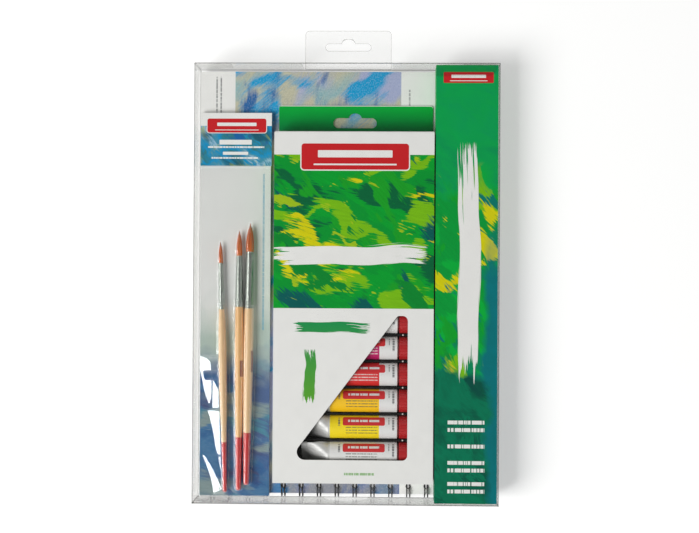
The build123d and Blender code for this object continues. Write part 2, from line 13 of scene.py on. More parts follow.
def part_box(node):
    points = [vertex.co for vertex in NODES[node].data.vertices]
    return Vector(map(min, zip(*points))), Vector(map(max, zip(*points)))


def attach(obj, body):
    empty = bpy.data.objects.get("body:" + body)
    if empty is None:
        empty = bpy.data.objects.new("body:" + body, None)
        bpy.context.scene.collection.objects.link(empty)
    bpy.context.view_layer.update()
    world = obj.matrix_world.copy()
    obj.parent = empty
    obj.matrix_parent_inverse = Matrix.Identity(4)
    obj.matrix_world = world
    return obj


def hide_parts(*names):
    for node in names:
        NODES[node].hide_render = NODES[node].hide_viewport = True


bl_info = {
    "name": "Paint Set Looks",
    "version": (1, 0, 0),
    "blender": (4, 5, 0),
    "location": "3D View > Sidebar > Paint Set",
    "description": "Finishes a clear box that holds a pad, a carton of paint tubes, brushes and a sleeve",
    "category": "Object",
}

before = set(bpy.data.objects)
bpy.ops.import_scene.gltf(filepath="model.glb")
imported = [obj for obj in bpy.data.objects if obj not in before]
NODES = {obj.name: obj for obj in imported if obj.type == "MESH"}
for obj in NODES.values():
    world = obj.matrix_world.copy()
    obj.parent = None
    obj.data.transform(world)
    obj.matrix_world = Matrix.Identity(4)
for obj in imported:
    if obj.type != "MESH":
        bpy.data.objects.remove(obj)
MM = 0.001
FILM_NODES = (
    "box_body", "box_lid", "tuck_flap", "dust_flap_left", "dust_flap_right",
    "bottom_panel", "bottom_lock_panel", "bottom_flap_left", "bottom_flap_right",
)
LID_NODES = ("box_lid", "tuck_flap", "dust_flap_left", "dust_flap_right")
TUBES = sorted(name for name in NODES if name.startswith("tube_") and name != "tube_tray")
CAPS = sorted(name for name in NODES if name.startswith("cap_"))
BRUSHES = ("brush_a", "brush_b", "brush_c")
TUBE_COLOURS = (
    (0.08, 0.08, 0.09), (0.45, 0.24, 0.12), (0.72, 0.50, 0.20), (0.12, 0.52, 0.26), (0.10, 0.60, 0.62),
    (0.08, 0.35, 0.62), (0.12, 0.18, 0.48), (0.72, 0.06, 0.38), (0.84, 0.15, 0.15), (0.98, 0.78, 0.0),
    (0.97, 0.87, 0.0), (0.90, 0.90, 0.89),
)
PAST_EVERY_PIECE = 400.0
DOWN = Vector((0, 0, -1))
WHITE = (1, 1, 1, 1)
BLACK = (0, 0, 0, 1)
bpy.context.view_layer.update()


def colour(name, summary, value):
    """A colour that a user can change, held as it looks on screen."""
    return FloatVectorProperty(
        name=name, description=summary, subtype="COLOR_GAMMA", size=3, min=0, max=1, default=value
    )


def length(name, summary, value):
    """A length that a user can change, held in metres."""
    return FloatProperty(name=name, description=summary, unit="LENGTH", default=value, precision=5)


def share(name, summary, value):
    """A share from none to all that a user can change."""
    return FloatProperty(name=name, description=summary, subtype="FACTOR", min=0, max=1, default=value)


def amount(name, summary, value, unit="NONE"):
    """A plain number that a user can change."""
    return FloatProperty(name=name, description=summary, unit=unit, default=value)


class PaintSetFilm(PropertyGroup):
    """The clear film of the box and of the brush pouch."""

    # Film Shade is a painted reflection: the pale grey the film shows at a slant. The fold grey below is
    # painted shade along the folds.
    shade: colour("Film Shade", "Grey that the box film shows at a slant", (0.84, 0.84, 0.82))
    fold_painted_shade: colour("Line Shade", "Grey of the box film's folds", (0.36, 0.36, 0.35))
    gloss: share("Box Roughness", "Roughness of the box film", 0.12)
    veil: share("Veil", "How much of the film shows from straight in front", 0.004)
    slant_veil: share("Slant Veil", "How much of the film shows at a slant", 0.56)
    fold_veil: share("Fold Veil", "How much more of the film shows along its folds and cut edges", 0.35)
    lid_veil: share("Lid Veil", "How much of the lid and its flaps shows at a slant", 0.34)
    tab_veil: share("Tab Veil", "How much more of the film shows on the hang tab", 0.05)
    lid_shade: share("Lid Shade", "How much light the lid and its flaps hold back", 0.2)
    pouch_tint: colour("Pouch Tint", "Colour that the pouch gives to what is behind it", (0.985, 0.99, 0.99))
    pouch_gloss: share("Pouch Roughness", "Roughness of the pouch film", 0.015)
    ior: amount("IOR", "How strongly the pouch mirrors and bends light", 1.75)
    pouch_thickness: length("Pouch Thickness", "Thickness of the pouch film", 0.00008)
    pouch_lift: length("Pouch Lift", "Room between the pouch film and the brushes", 0.0003)
    pouch_crease: length("Pouch Crease", "Height of the creases in the pouch film", 0.00012)


class PaintSetPrint(PropertyGroup):
    """The colours printed on the boards and papers."""

    board: colour("Board", "White of the coated board", (0.955, 0.955, 0.94))
    label: colour("Label", "Red of the plain labels", (0.81, 0.14, 0.16))
    deep_green: colour("Deep Green", "Darkest green of the carton and its tab", (0.0, 0.42, 0.24))
    green: colour("Green", "Main green of the sleeve and of the carton's tab", (0.0, 0.70, 0.24))
    leaf: colour("Leaf", "Yellow green of the carton and sleeve", (0.50, 0.78, 0.08))
    yellow: colour("Yellow", "Yellow strokes of the carton and sleeve", (0.88, 0.86, 0.05))
    teal: colour("Teal", "Teal of the sleeve's right edge", (0.0, 0.50, 0.54))
    lilac: colour("Lilac", "Lilac strokes of the pad cover", (0.69, 0.72, 0.86))
    sand: colour("Sand", "Sand strokes of the pad cover", (0.78, 0.77, 0.66))
    sky: colour("Sky", "Sky blue strokes of the pad cover", (0.0, 0.64, 0.86))
    deep_blue: colour("Deep Blue", "Deep blue strokes of the pad cover and brush header", (0.12, 0.40, 0.66))


class PaintSetTubes(PropertyGroup):
    """The tubes, their caps and the tray."""

    metal: colour("Tube Metal", "Bare lacquered aluminium", (0.80, 0.80, 0.79))
    white: colour("Tube White", "White ground of the tube print", (0.90, 0.90, 0.89))
    cap: colour("Cap", "Red of the screw caps", (0.78, 0.11, 0.13))
    tray: colour("Tray", "Black of the formed tray", (0.075, 0.072, 0.07))
    label_left: length("Label Left", "Where the coloured label starts along the tube", -0.0109)
    label_right: length("Label Right", "Where the coloured label ends along the tube", 0.0235)


class PaintSetBrushes(PropertyGroup):
    """The three brushes."""

    wood: colour("Wood", "Lacquered wood of the handles", (0.99, 0.82, 0.61))
    warm_wood: colour("Warm Wood", "Darker wood of the middle handle", (1.0, 0.77, 0.49))
    dip: colour("Dip", "Red of the dipped ends", (0.80, 0.06, 0.07))
    bristle: colour("Bristle", "Golden filament", (0.98, 0.52, 0.10))
    bristle_tip: colour("Bristle Tip", "Darker filaments", (0.84, 0.40, 0.05))
    strands: IntProperty(name="Strands", description="Filaments in each brush head", default=300, min=40)


class PaintSetStage(PropertyGroup):
    """Lamps, floor and camera."""

    key: amount("Key Lamp", "Power of the large soft lamp", 65.0, "POWER")
    glint: amount("Glint Lamp", "Power of the small lamp", 4.8, "POWER")
    fill: amount("Fill", "Strength of the light from all round", 0.29)
    floor_lift: amount("Floor Lift", "White added to the floor for the eye", 0.35)
    lens: amount("Lens", "Focal length in millimetres", 70.11)


SETTINGS = {
    "paint_set_film": PaintSetFilm, "paint_set_print": PaintSetPrint, "paint_set_tubes": PaintSetTubes,
    "paint_set_brushes": PaintSetBrushes, "paint_set_stage": PaintSetStage,
}


def pigment(shown):
    """A screen colour as the linear colour that sockets hold. One of four parts is linear already."""
    if len(shown) == 4:
        return tuple(shown)
    return (*Color(tuple(shown)).from_srgb_to_scene_linear(), 1.0)


class Value:
    """What a shader node puts out. Plain arithmetic on it adds the nodes that work it out."""

    def __init__(self, nodes, socket):
        self.nodes = nodes
        self.socket = socket

    def __add__(self, other):
        return self.nodes.reckon("ADD", self, other)

    def __sub__(self, other):
        return self.nodes.reckon("SUBTRACT", self, other)

    def __rsub__(self, other):
        return self.nodes.reckon("SUBTRACT", other, self)

    def __mul__(self, other):
        return self.nodes.reckon("MULTIPLY", self, other)

    def __truediv__(self, other):
        return self.nodes.reckon("DIVIDE", self, other)

    def __rtruediv__(self, other):
        return self.nodes.reckon("DIVIDE", other, self)

    def __gt__(self, other):
        return self.nodes.reckon("GREATER_THAN", self, other)

    def __lt__(self, other):
        return self.nodes.reckon("LESS_THAN", self, other)

    def __abs__(self):
        return self.nodes.math("ABSOLUTE", self)

    def has_parts(self):
        """Whether this is a vector or a colour, and not a number."""
        return self.socket.type in ("VECTOR", "RGBA")


class Outputs:
    """The outputs of one node, by name or by number."""

    def __init__(self, nodes, node):
        self.nodes = nodes
        self.node = node

    def __getitem__(self, key):
        return Value(self.nodes, self.node.outputs[key])


class Nodes:
    """Short ways to add and join the shader nodes of one tree."""

    def __init__(self, tree):
        self.tree = tree

    def feed(self, socket, value):
        """Joins a value to a socket, or sets it there. A socket for colour takes a screen colour."""
        if isinstance(value, Value):
            self.tree.links.new(value.socket, socket)
        else:
            socket.default_value = pigment(value) if socket.type == "RGBA" else value

    def add(self, kind, inputs=None, **settings):
        node = self.tree.nodes.new("ShaderNode" + kind)
        for name, value in settings.items():
            setattr(node, name, value)
        for name, value in (inputs or {}).items():
            self.feed(node.inputs[name], value)
        return Outputs(self, node)

    def math(self, operation, *values, clamp=False):
        return self.add("Math", dict(enumerate(values)), operation=operation, use_clamp=clamp)[0]

    def reckon(self, operation, first, second):
        """One step of arithmetic: on numbers, on vectors, or a vector times a number."""
        parts = [value.has_parts() if isinstance(value, Value) else isinstance(value, tuple)
                 for value in (first, second)]
        if parts == [False, False]:
            return self.math(operation, first, second)
        if parts == [True, False]:
            return self.add("VectorMath", {0: first, "Scale": second}, operation="SCALE")["Vector"]
        return self.add("VectorMath", {0: first, 1: second}, operation=operation)["Vector"]

    def highest(self, *values):
        return reduce(lambda first, second: self.math("MAXIMUM", first, second), values)

    def lowest(self, *values):
        return reduce(lambda first, second: self.math("MINIMUM", first, second), values)

    def mix(self, factor, low, high):
        return self.add("Mix", {0: factor, 6: low, 7: high}, data_type="RGBA")[2]

    def over(self, ground, paint, *masks):
        """Lays one colour over the ground wherever one of the masks is full."""
        for mask in masks:
            ground = self.mix(mask, ground, paint)
        return ground

    def shaded(self, shown, shade):
        """A screen colour times a shade that changes over the surface."""
        return self.reckon("MULTIPLY", pigment(shown)[:3], shade)

    def ramp(self, value, stops):
        ramp = self.add("ValToRGB", {"Fac": value})
        elements = ramp.node.color_ramp.elements
        elements.remove(elements[1])
        elements[0].position = stops[0][0]
        elements[0].color = pigment(stops[0][1])
        for place, paint in stops[1:]:
            elements.new(place).color = pigment(paint)
        return ramp["Color"]

    def spread(self, value, low, high, to_low=0.0, to_high=1.0):
        """The value moved from one range to another, and held inside it."""
        return self.add("MapRange", {
            "Value": value, "From Min": low, "From Max": high, "To Min": to_low, "To Max": to_high,
        })["Result"]

    def noise(self, place, scale, detail=2.0, roughness=0.5, warp=0.0):
        return self.add("TexNoise", {
            "Vector": place, "Scale": scale, "Detail": detail, "Roughness": roughness, "Distortion": warp,
        })["Fac"]

    def split(self, vector):
        parts = self.add("SeparateXYZ", {"Vector": vector})
        return parts["X"], parts["Y"], parts["Z"]

    def join(self, x, y, z=0.0):
        return self.add("CombineXYZ", {"X": x, "Y": y, "Z": z})["Vector"]

    def turned(self, place, turn):
        return self.add("VectorRotate", {"Vector": place, "Angle": turn})["Vector"]

    def quarter_turned(self, place):
        """The place turned so that rows run up the set."""
        x, y, z = self.split(place)
        return self.join(y, x * -1.0, z)

    def effect(self, name, *values):
        """Places a shared effect with its own values, in the order of its inputs."""
        return self.add("Group", dict(enumerate(values)), node_tree=bpy.data.node_groups[name])

    def patch(self, place, middle_x, middle_y, width, height, corner=0.0, edge=0.12):
        """Where a printed patch lies: its middle, size, corner and edge in millimetres."""
        return self.effect("Printed Patch", place, middle_x, middle_y, width, height, corner, edge)["Mask"]

    def patches(self, place, ground, middle_x, rows):
        """Patches over the ground, one on the other: colour, middle, width, height and corner."""
        for paint, middle_y, width, height, corner in rows:
            ground = self.mix(self.patch(place, middle_x, middle_y, width, height, corner), ground, paint)
        return ground

    def dry_stroke(self, place, middle, size, seed):
        """Where one stroke of a dry brush lies, from its middle and its length and width."""
        return self.effect("Dry Stroke", place, *middle, *size, seed)["Mask"]

    def line_block(self, place, middle, size, rows, weight, bar):
        """Where the plain bars of a block of small lines lie."""
        return self.effect("Line Block", place, *middle, *size, rows, weight, bar)["Mask"]

    def seen_paths(self):
        """Which rays carry what the eye sees: straight on, in a mirror or through clear film."""
        path = self.add("LightPath")
        return self.highest(path["Is Camera Ray"], path["Is Glossy Ray"], path["Is Transmission Ray"])

    def lit_paths(self):
        """Which rays carry the lamps' light."""
        path = self.add("LightPath")
        return self.highest(path["Is Shadow Ray"], path["Is Diffuse Ray"])


class Finish(Nodes):
    """A material in the making: its Principled shader and the nodes that feed it."""

    def __init__(self, name, **values):
        self.material = bpy.data.materials.new(name)
        self.material.use_nodes = True
        super().__init__(self.material.node_tree)
        self.shader = self.material.node_tree.nodes["Principled BSDF"]
        for label, value in values.items():
            self.set(label.replace("_", " ").title().replace("Ior", "IOR"), value)

    def set(self, label, value):
        self.feed(self.shader.inputs[label], value)

    def place(self):
        """The point on the piece, in millimetres of the set's own frame."""
        return self.add("TexCoord")["Object"] * (1 / MM)

    def bump(self, height, strength, depth):
        """Relief from a height from 0 to 1, as deep as depth in metres."""
        relief = self.add("Bump", {"Height": height, "Strength": strength, "Distance": depth})
        self.set("Normal", relief["Normal"])


def new_effect(name, outputs, **inputs):
    """Starts a shared effect: a shader node group, its outputs' sockets and its inputs' values."""
    tree = bpy.data.node_groups.new(name, "ShaderNodeTree")
    nodes = Nodes(tree)
    for label, value in inputs.items():
        kind = "NodeSocketVector" if isinstance(value, tuple) else "NodeSocketFloat"
        title = label.replace("_", " ").title()
        tree.interface.new_socket(name=title, in_out="INPUT", socket_type=kind).default_value = value
    for label in outputs:
        tree.interface.new_socket(name=label, in_out="OUTPUT", socket_type="NodeSocketFloat")
    given = tree.nodes.new("NodeGroupInput").outputs
    values = [Value(nodes, socket) for _, socket in zip(inputs, given)]
    return nodes, tree.nodes.new("NodeGroupOutput").inputs, values


def make_printed_patch():
    """A mask that is 1 inside a rectangle with round corners."""
    nodes, out, (place, middle_x, middle_y, width, height, corner, edge) = new_effect(
        "Printed Patch", ["Mask"], place=(0, 0, 0), middle_x=0.0, middle_y=0.0, width=1.0, height=1.0,
        corner=0.0, edge=0.1,
    )
    x, y, _ = nodes.split(place)
    over_x = abs(x - middle_x) - (width * 0.5 - corner)
    over_y = abs(y - middle_y) - (height * 0.5 - corner)
    past_both = nodes.join(nodes.highest(over_x, 0.0), nodes.highest(over_y, 0.0))
    outside = nodes.add("VectorMath", {0: past_both}, operation="LENGTH")["Value"]
    inside = nodes.lowest(nodes.highest(over_x, over_y), 0.0)
    distance = outside + inside - corner
    nodes.feed(out["Mask"], nodes.math("SUBTRACT", 0.5, distance / edge, clamp=True))


def make_line_block():
    """A mask of short plain bars in rows."""
    nodes, out, (place, middle_x, middle_y, width, height, rows, weight, bar) = new_effect(
        "Line Block", ["Mask"], place=(0, 0, 0), middle_x=0.0, middle_y=0.0, width=10.0, height=10.0,
        rows=3.0, weight=0.5, bar=3.0,
    )
    area = nodes.patch(place, middle_x, middle_y, width, height, 0.0, 0.05)
    x, y, _ = nodes.split(place)
    row = (y - middle_y + height * 0.5) / height * rows
    on_line = abs(nodes.math("FRACT", row) - 0.5) < weight * 0.5
    along = nodes.join(x / bar, nodes.math("FLOOR", row) * 7.7)
    gaps = nodes.noise(along, 1.7, 1.0) > 0.43
    nodes.feed(out["Mask"], area * on_line * gaps)


def swayed(nodes, place, size, seed, scale, detail, warp):
    """The place in units of a stroke's size, pushed about so that no stroke is straight."""
    moved = place * (1.0 / size) + nodes.join(seed, seed, seed)
    sway = nodes.add("TexNoise", {"Vector": moved, "Scale": scale, "Detail": detail})["Color"]
    return moved + (sway - (0.5, 0.5, 0.5)) * warp


def make_brush_strokes():
    """Painted ground: broad tones broken into overlapping dabs, with fine streaks along them."""
    nodes, out, (place, size, turn, seed, warp, dabs, bristle) = new_effect(
        "Brush Strokes", ["Tone", "Streak"], place=(0, 0, 0), size=20.0, turn=0.5, seed=0.0, warp=0.6,
        dabs=0.4, bristle=1.2,
    )
    warped = swayed(nodes, nodes.turned(place, turn), size, seed, 1.2, 2.0, warp)
    along_strokes = warped * (size / bristle) * (0.07, 1.0, 1.0)
    streak = nodes.noise(along_strokes, 1.0, 3.0, 0.6)
    broad = nodes.spread(nodes.noise(warped * (0.7, 1.4, 1.0), 1.4, 4.0, 0.6), 0.33, 0.67)
    frayed = (warped + nodes.join(0.0, (streak - 0.5) * 0.5)) * (1.3, 3.2, 1.0)
    cell, _, _ = nodes.split(nodes.add("TexVoronoi", {"Vector": frayed, "Scale": 1.0})["Color"])
    nodes.feed(out["Tone"], broad + (cell - broad) * dabs)
    nodes.feed(out["Streak"], nodes.spread(streak, 0.3, 0.7))


def make_laid_paint():
    """A mask for one colour laid over another in broad strokes, with hairs along them."""
    nodes, out, (place, size, turn, seed, cover, fray, edge) = new_effect(
        "Laid Paint", ["Mask", "Hairs"], place=(0, 0, 0), size=20.0, turn=0.5, seed=0.0, cover=0.55,
        fray=0.1, edge=0.02,
    )
    turned = nodes.turned(place, turn)
    warped = swayed(nodes, turned, size, seed, 1.0, 1.0, 1.2) * (0.5, 1.3, 1.0)
    shape = nodes.noise(warped, 1.0, 2.0, 0.45)
    hairs = nodes.noise(turned * (0.06, 0.8, 0.8), 1.0, 3.0, 0.6)
    nodes.feed(out["Mask"], nodes.spread((hairs - 0.5) * fray + shape, cover, cover + edge))
    nodes.feed(out["Hairs"], nodes.spread(hairs, 0.3, 0.7))


def make_dry_stroke():
    """A mask for one stroke of a nearly dry brush: full where it starts, broken where it ends."""
    nodes, out, (place, middle_x, middle_y, full_length, width, seed) = new_effect(
        "Dry Stroke", ["Mask"], place=(0, 0, 0), middle_x=0.0, middle_y=0.0, length=50.0, width=10.0,
        seed=0.0,
    )
    x, y, _ = nodes.split(place)
    along = (x - middle_x) / full_length
    bow = nodes.noise(nodes.join(along, 0.0, seed), 2.2, 1.0) - 0.5
    across = bow * 0.5 + (y - middle_y) / width
    streak = nodes.noise(nodes.join(along * 1.6, across * 9.0, seed), 1.0, 3.0, 0.62)
    ragged = (streak - 0.5) * 0.5 + along
    in_length = nodes.spread(ragged, -0.49, -0.482) * nodes.spread(ragged, 0.49, 0.482)
    in_width = nodes.spread((streak - 0.5) * -0.35 + abs(across), 0.42, 0.40)
    dry = nodes.spread(along, -0.1, 0.5, 0.22, 0.50)
    wet = nodes.spread(streak - dry, -0.012, 0.012)
    nodes.feed(out["Mask"], in_length * in_width * wet)


def make_board_fibre():
    """The faint mottle and tooth of coated board and paper."""
    nodes, out, (place, size) = new_effect("Board Fibre", ["Mottle", "Tooth"], place=(0, 0, 0), size=0.5)
    unit = place * (1.0 / size)
    nodes.feed(out["Mottle"], nodes.spread(nodes.noise(unit, 0.06, 3.0), 0.3, 0.7))
    nodes.feed(out["Tooth"], nodes.noise(unit, 1.0, 4.0, 0.65))


def make_handling():
    """Fine scratches and cloudy finger marks, from handling."""
    nodes, out, (place, turn) = new_effect("Handling", ["Scratch", "Cloud"], place=(0, 0, 0), turn=0.6)
    lines = nodes.noise(nodes.turned(place, turn) * (0.02, 1.3, 1.0), 1.0, 2.0, 0.5)
    nodes.feed(out["Scratch"], nodes.spread(lines, 0.66, 0.72))
    nodes.feed(out["Cloud"], nodes.spread(nodes.noise(place, 0.035, 3.0), 0.45, 0.75))


def make_moulded_grain():
    """The slight unevenness of moulded or formed plastic."""
    nodes, out, (place, size) = new_effect("Moulded Grain", ["Grain"], place=(0, 0, 0), size=1.0)
    nodes.feed(out["Grain"], nodes.noise(place * (1.0 / size), 1.0, 4.0, 0.6))


def dress(names, finish):
    """Gives CAD nodes their finish."""
    for name in names:
        materials = NODES[name].data.materials
        materials.clear()
        materials.append(finish.material)


def box_in_mm(node):
    """A node's lowest and highest corners in millimetres."""
    return [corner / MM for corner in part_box(node)]


class PAINTSET_OT_clear_box(Operator):
    """Gives the folding box and its flaps their clear film, with a painted pale reflection at a slant and
    painted grey lines on the folds and cut edges
    """

    bl_idname = "paint_set.clear_box"
    bl_label = "Clear Box"

    fold_line = 0.7
    tab_start = 0.3
    tab_width = 62.0
    tab_corner = 3.0
    slot_width = 32.4
    slot_height = 5.0
    slot_rise = 16.0
    dome_width = 9.2
    dome_rise = 3.2
    rim = 0.7
    scratch_veil = 0.004
    cloud_roughness = 0.1

    def execute(self, context):
        settings = context.scene.paint_set_film
        walls = [name for name in FILM_NODES if name not in LID_NODES]
        dress(walls, self.film("Clear Wall Film", settings, settings.slant_veil, 0.0))
        dress(LID_NODES, self.film("Clear Lid Film", settings, settings.lid_veil, settings.lid_shade))
        return {"FINISHED"}

    def film(self, name, settings, slant_veil, shade):
        """Film that is nearly unseen from the front: shade is what it holds back of the lamps' light. Its
        pale grey at a slant is a painted reflection, and its folds and cut edges get painted grey lines.
        """
        film = Finish(name, roughness=settings.gloss)
        place = film.place()
        marks = film.effect("Handling", place, 0.7)
        slant = film.math("POWER", film.add("LayerWeight", {"Blend": 0.5})["Facing"], 3.0)
        on_tab = film.split(place)[1] > box_in_mm("box_lid")[1].y + self.tab_start
        folds = self.folds(film, place) * (1.0 - on_tab)
        painted_edge_lines = self.tab_rim(film, place) * on_tab
        # Base colour: the pale grey is a painted reflection seen at a slant, and the darker grey is painted
        # shade along the folds.
        film.set("Base Color", film.mix(folds, settings.shade, settings.fold_painted_shade))
        veil = film.spread(slant, 0.0, 1.0, settings.veil, slant_veil)
        veil = film.highest(folds, painted_edge_lines) * settings.fold_veil + veil
        veil = on_tab * settings.tab_veil + veil
        veil = marks["Scratch"] * self.scratch_veil + veil
        lit = film.lit_paths()
        film.set("Alpha", (1.0 - lit) * veil + lit * shade)
        rough = settings.gloss + self.cloud_roughness
        film.set("Roughness", film.spread(marks["Cloud"], 0.0, 1.0, settings.gloss, rough))
        return film

    def folds(self, film, place):
        """Where two walls of the box meet: near two of its six sides at once."""
        low, high = box_in_mm("box_body")
        high.y = box_in_mm("box_lid")[1].y
        low.y = -high.y
        near = []
        for along, start, end in zip(film.split(place), low, high):
            near.append(abs(along - (start + end) / 2) > (end - start) / 2 - self.fold_line)
        return film.highest(*(film.lowest(near[i], near[(i + 1) % 3]) for i in range(3)))

    def tab_rim(self, film, place):
        """Where the cut edges of the hang tab and of its slot lie: they get painted pale grey lines."""
        top = box_in_mm("box_body")[1].y
        foot = box_in_mm("box_lid")[1].y
        slot_y = foot + self.slot_rise
        dome_y = slot_y + self.slot_height / 2
        rim = self.rim
        width, height = self.tab_width, 2 * (top - foot)
        outer = film.patch(place, 0.0, foot, width, height, self.tab_corner)
        inner = film.patch(place, 0.0, foot, width - rim, height - rim, self.tab_corner - rim / 2)
        width, height = self.slot_width + rim, self.slot_height + rim
        slot = film.patch(place, 0.0, slot_y, width, height, height / 2 - 0.01)
        width, height = self.dome_width + rim, 2 * self.dome_rise + rim
        dome = film.patch(place, 0.0, dome_y, width, height, self.dome_rise)
        return film.highest(outer - inner, slot, dome)


def painted_ground(finish, place, size, turn, seed, stops, dabs=0.4, bristle=1.2, warp=0.6, streak=0.12):
    """The colour of painted ground: tones through a ramp, with streaks along the strokes."""
    strokes = finish.effect("Brush Strokes", place, size, turn, seed, warp, dabs, bristle)
    return finish.ramp((strokes["Streak"] - 0.5) * streak + strokes["Tone"], stops)


def laid_paint(finish, place, ground, layers, depth=0.14):
    """Ground covered by layers: each has a shown colour, size, turn, seed, cover, fray and edge."""
    for shown, *strokes in layers:
        laid = finish.effect("Laid Paint", place, *strokes)
        shade = finish.spread(laid["Hairs"], 0.0, 1.0, 1.0 - depth, 1.0)
        ground = finish.mix(laid["Mask"], ground, finish.shaded(shown, shade))
    return ground


def printed_board(name, draw, colours):
    """A printed board or paper: draw gives its colour, and the fibre gives its tooth."""
    board = Finish(name, roughness=0.45, specular_ior_level=0.06)
    place = board.place()
    fibre = board.effect("Board Fibre", place, 0.5)
    shade = board.spread(fibre["Mottle"], 0.0, 1.0, 0.965, 1.0)
    board.set("Base Color", draw(board, place, colours) * shade)
    board.bump(fibre["Tooth"], 0.08, 0.00004)
    return board


def leaf_edges(name, colours):
    """White paper whose cut edges show the leaves as fine lines."""
    paper = Finish(name, roughness=0.7, specular_ior_level=0.2)
    leaves = paper.noise(paper.join(0.0, 0.0, paper.split(paper.place())[2]), 5.5, 2.0)
    paper.set("Base Color", paper.shaded(colours.board, paper.spread(leaves, 0.3, 0.7, 0.82, 1.0)))
    paper.bump(leaves, 0.3, 0.00008)
    return paper


class PAINTSET_OT_manual(Operator):
    """Gives the manual its papers, printed cover and bright staples"""

    bl_idname = "paint_set.manual"
    bl_label = "Manual"

    painted_band = (0.0, -80.0, 205.0, 90.0)

    def execute(self, context):
        colours = context.scene.paint_set_print
        staple = Finish("Staple Wire", base_color=(0.72, 0.72, 0.73), metallic=1.0, roughness=0.3)
        dress(["manual_cover"], printed_board("Manual Cover", self.cover, colours))
        dress(["manual_pages"], leaf_edges("Manual Pages", colours))
        dress(["manual_staples"], staple)
        return {"FINISHED"}

    def cover(self, finish, place, colours):
        """White cover with one painted band in the pad's colours."""
        ground = painted_ground(finish, place, 40.0, 0.9, 11.0, (
            (0.1, colours.deep_blue), (0.4, colours.sky), (0.65, colours.lilac), (0.9, colours.sand),
        ))
        return finish.mix(finish.patch(place, *self.painted_band), colours.board, ground)


class PAINTSET_OT_pad(Operator):
    """Gives the pad its grey board, paper, printed cover and black wire"""

    bl_idname = "paint_set.pad"
    bl_label = "Wire Pad"

    band_left = -80.3
    band_right = 38.0
    foot_fade = (-128.0, -138.0)
    left_bars = ((128.0, 92.0), (38.0, 6.0))
    right_bars = ((108.0, -44.0), (60.0, 2.4))

    def execute(self, context):
        colours = context.scene.paint_set_print
        dress(["pad_cover"], printed_board("Pad Cover Print", self.cover, colours))
        dress(["pad_sheets"], leaf_edges("Pad Sheets", colours))
        board = Finish("Grey Board", roughness=0.85, specular_ior_level=0.15)
        tooth = board.effect("Board Fibre", board.place(), 0.9)["Tooth"]
        board.set("Base Color", board.mix(tooth, (0.40, 0.39, 0.37), (0.58, 0.57, 0.54)))
        board.bump(tooth, 0.3, 0.0001)
        dress(["pad_board"], board)
        wire = Finish("Coated Wire", base_color=(0.07, 0.07, 0.075), roughness=0.32)
        grain = wire.effect("Moulded Grain", wire.place(), 0.5)["Grain"]
        wire.set("Roughness", wire.spread(grain, 0.2, 0.8, 0.25, 0.42))
        dress(["pad_wire"], wire)
        return {"FINISHED"}

    def cover(self, finish, place, colours):
        """White cover with a full-length band of pastel strokes and short plain bars."""
        ground = laid_paint(finish, place, colours.sand, (
            (colours.lilac, 40.0, -1.2, 3.1, 0.51, 0.10, 0.10),
            ((0.60, 0.75, 0.76), 34.0, -0.9, 9.4, 0.53, 0.12, 0.09),
            (colours.sky, 38.0, -0.7, 5.7, 0.55, 0.14, 0.07),
            (colours.deep_blue, 34.0, -1.5, 14.2, 0.56, 0.12, 0.08),
        ), 0.08)
        foot = finish.spread(finish.split(place)[1], *self.foot_fade, 0.0, 0.6)
        grit = finish.noise(place * (1.0, 0.6, 1.0), 1.3, 3.0, 0.7)
        ground = finish.mix(foot, ground, (0.32, 0.36, 0.56))
        ground = finish.mix(finish.spread(grit, 0.5, 0.72, 0.0, 0.4), ground, (0.88, 0.89, 0.88))
        ground = finish.mix(finish.spread(grit, 0.48, 0.3, 0.0, 0.35), ground, (0.36, 0.50, 0.62))
        middle = (self.band_left + self.band_right) / 2
        band = finish.patch(place, middle, 0.0, self.band_right - self.band_left, PAST_EVERY_PIECE)
        turned = finish.quarter_turned(place)
        left_bars = finish.line_block(turned, *self.left_bars, 2.0, 0.34, 1.6)
        right_bars = finish.line_block(turned, *self.right_bars, 1.0, 0.5, 1.6)
        drawn = finish.mix(band, colours.board, ground)
        drawn = finish.mix(left_bars * 0.75, drawn, (0.35, 0.36, 0.37))
        return finish.mix(right_bars * 0.6, drawn, (0.45, 0.46, 0.47))


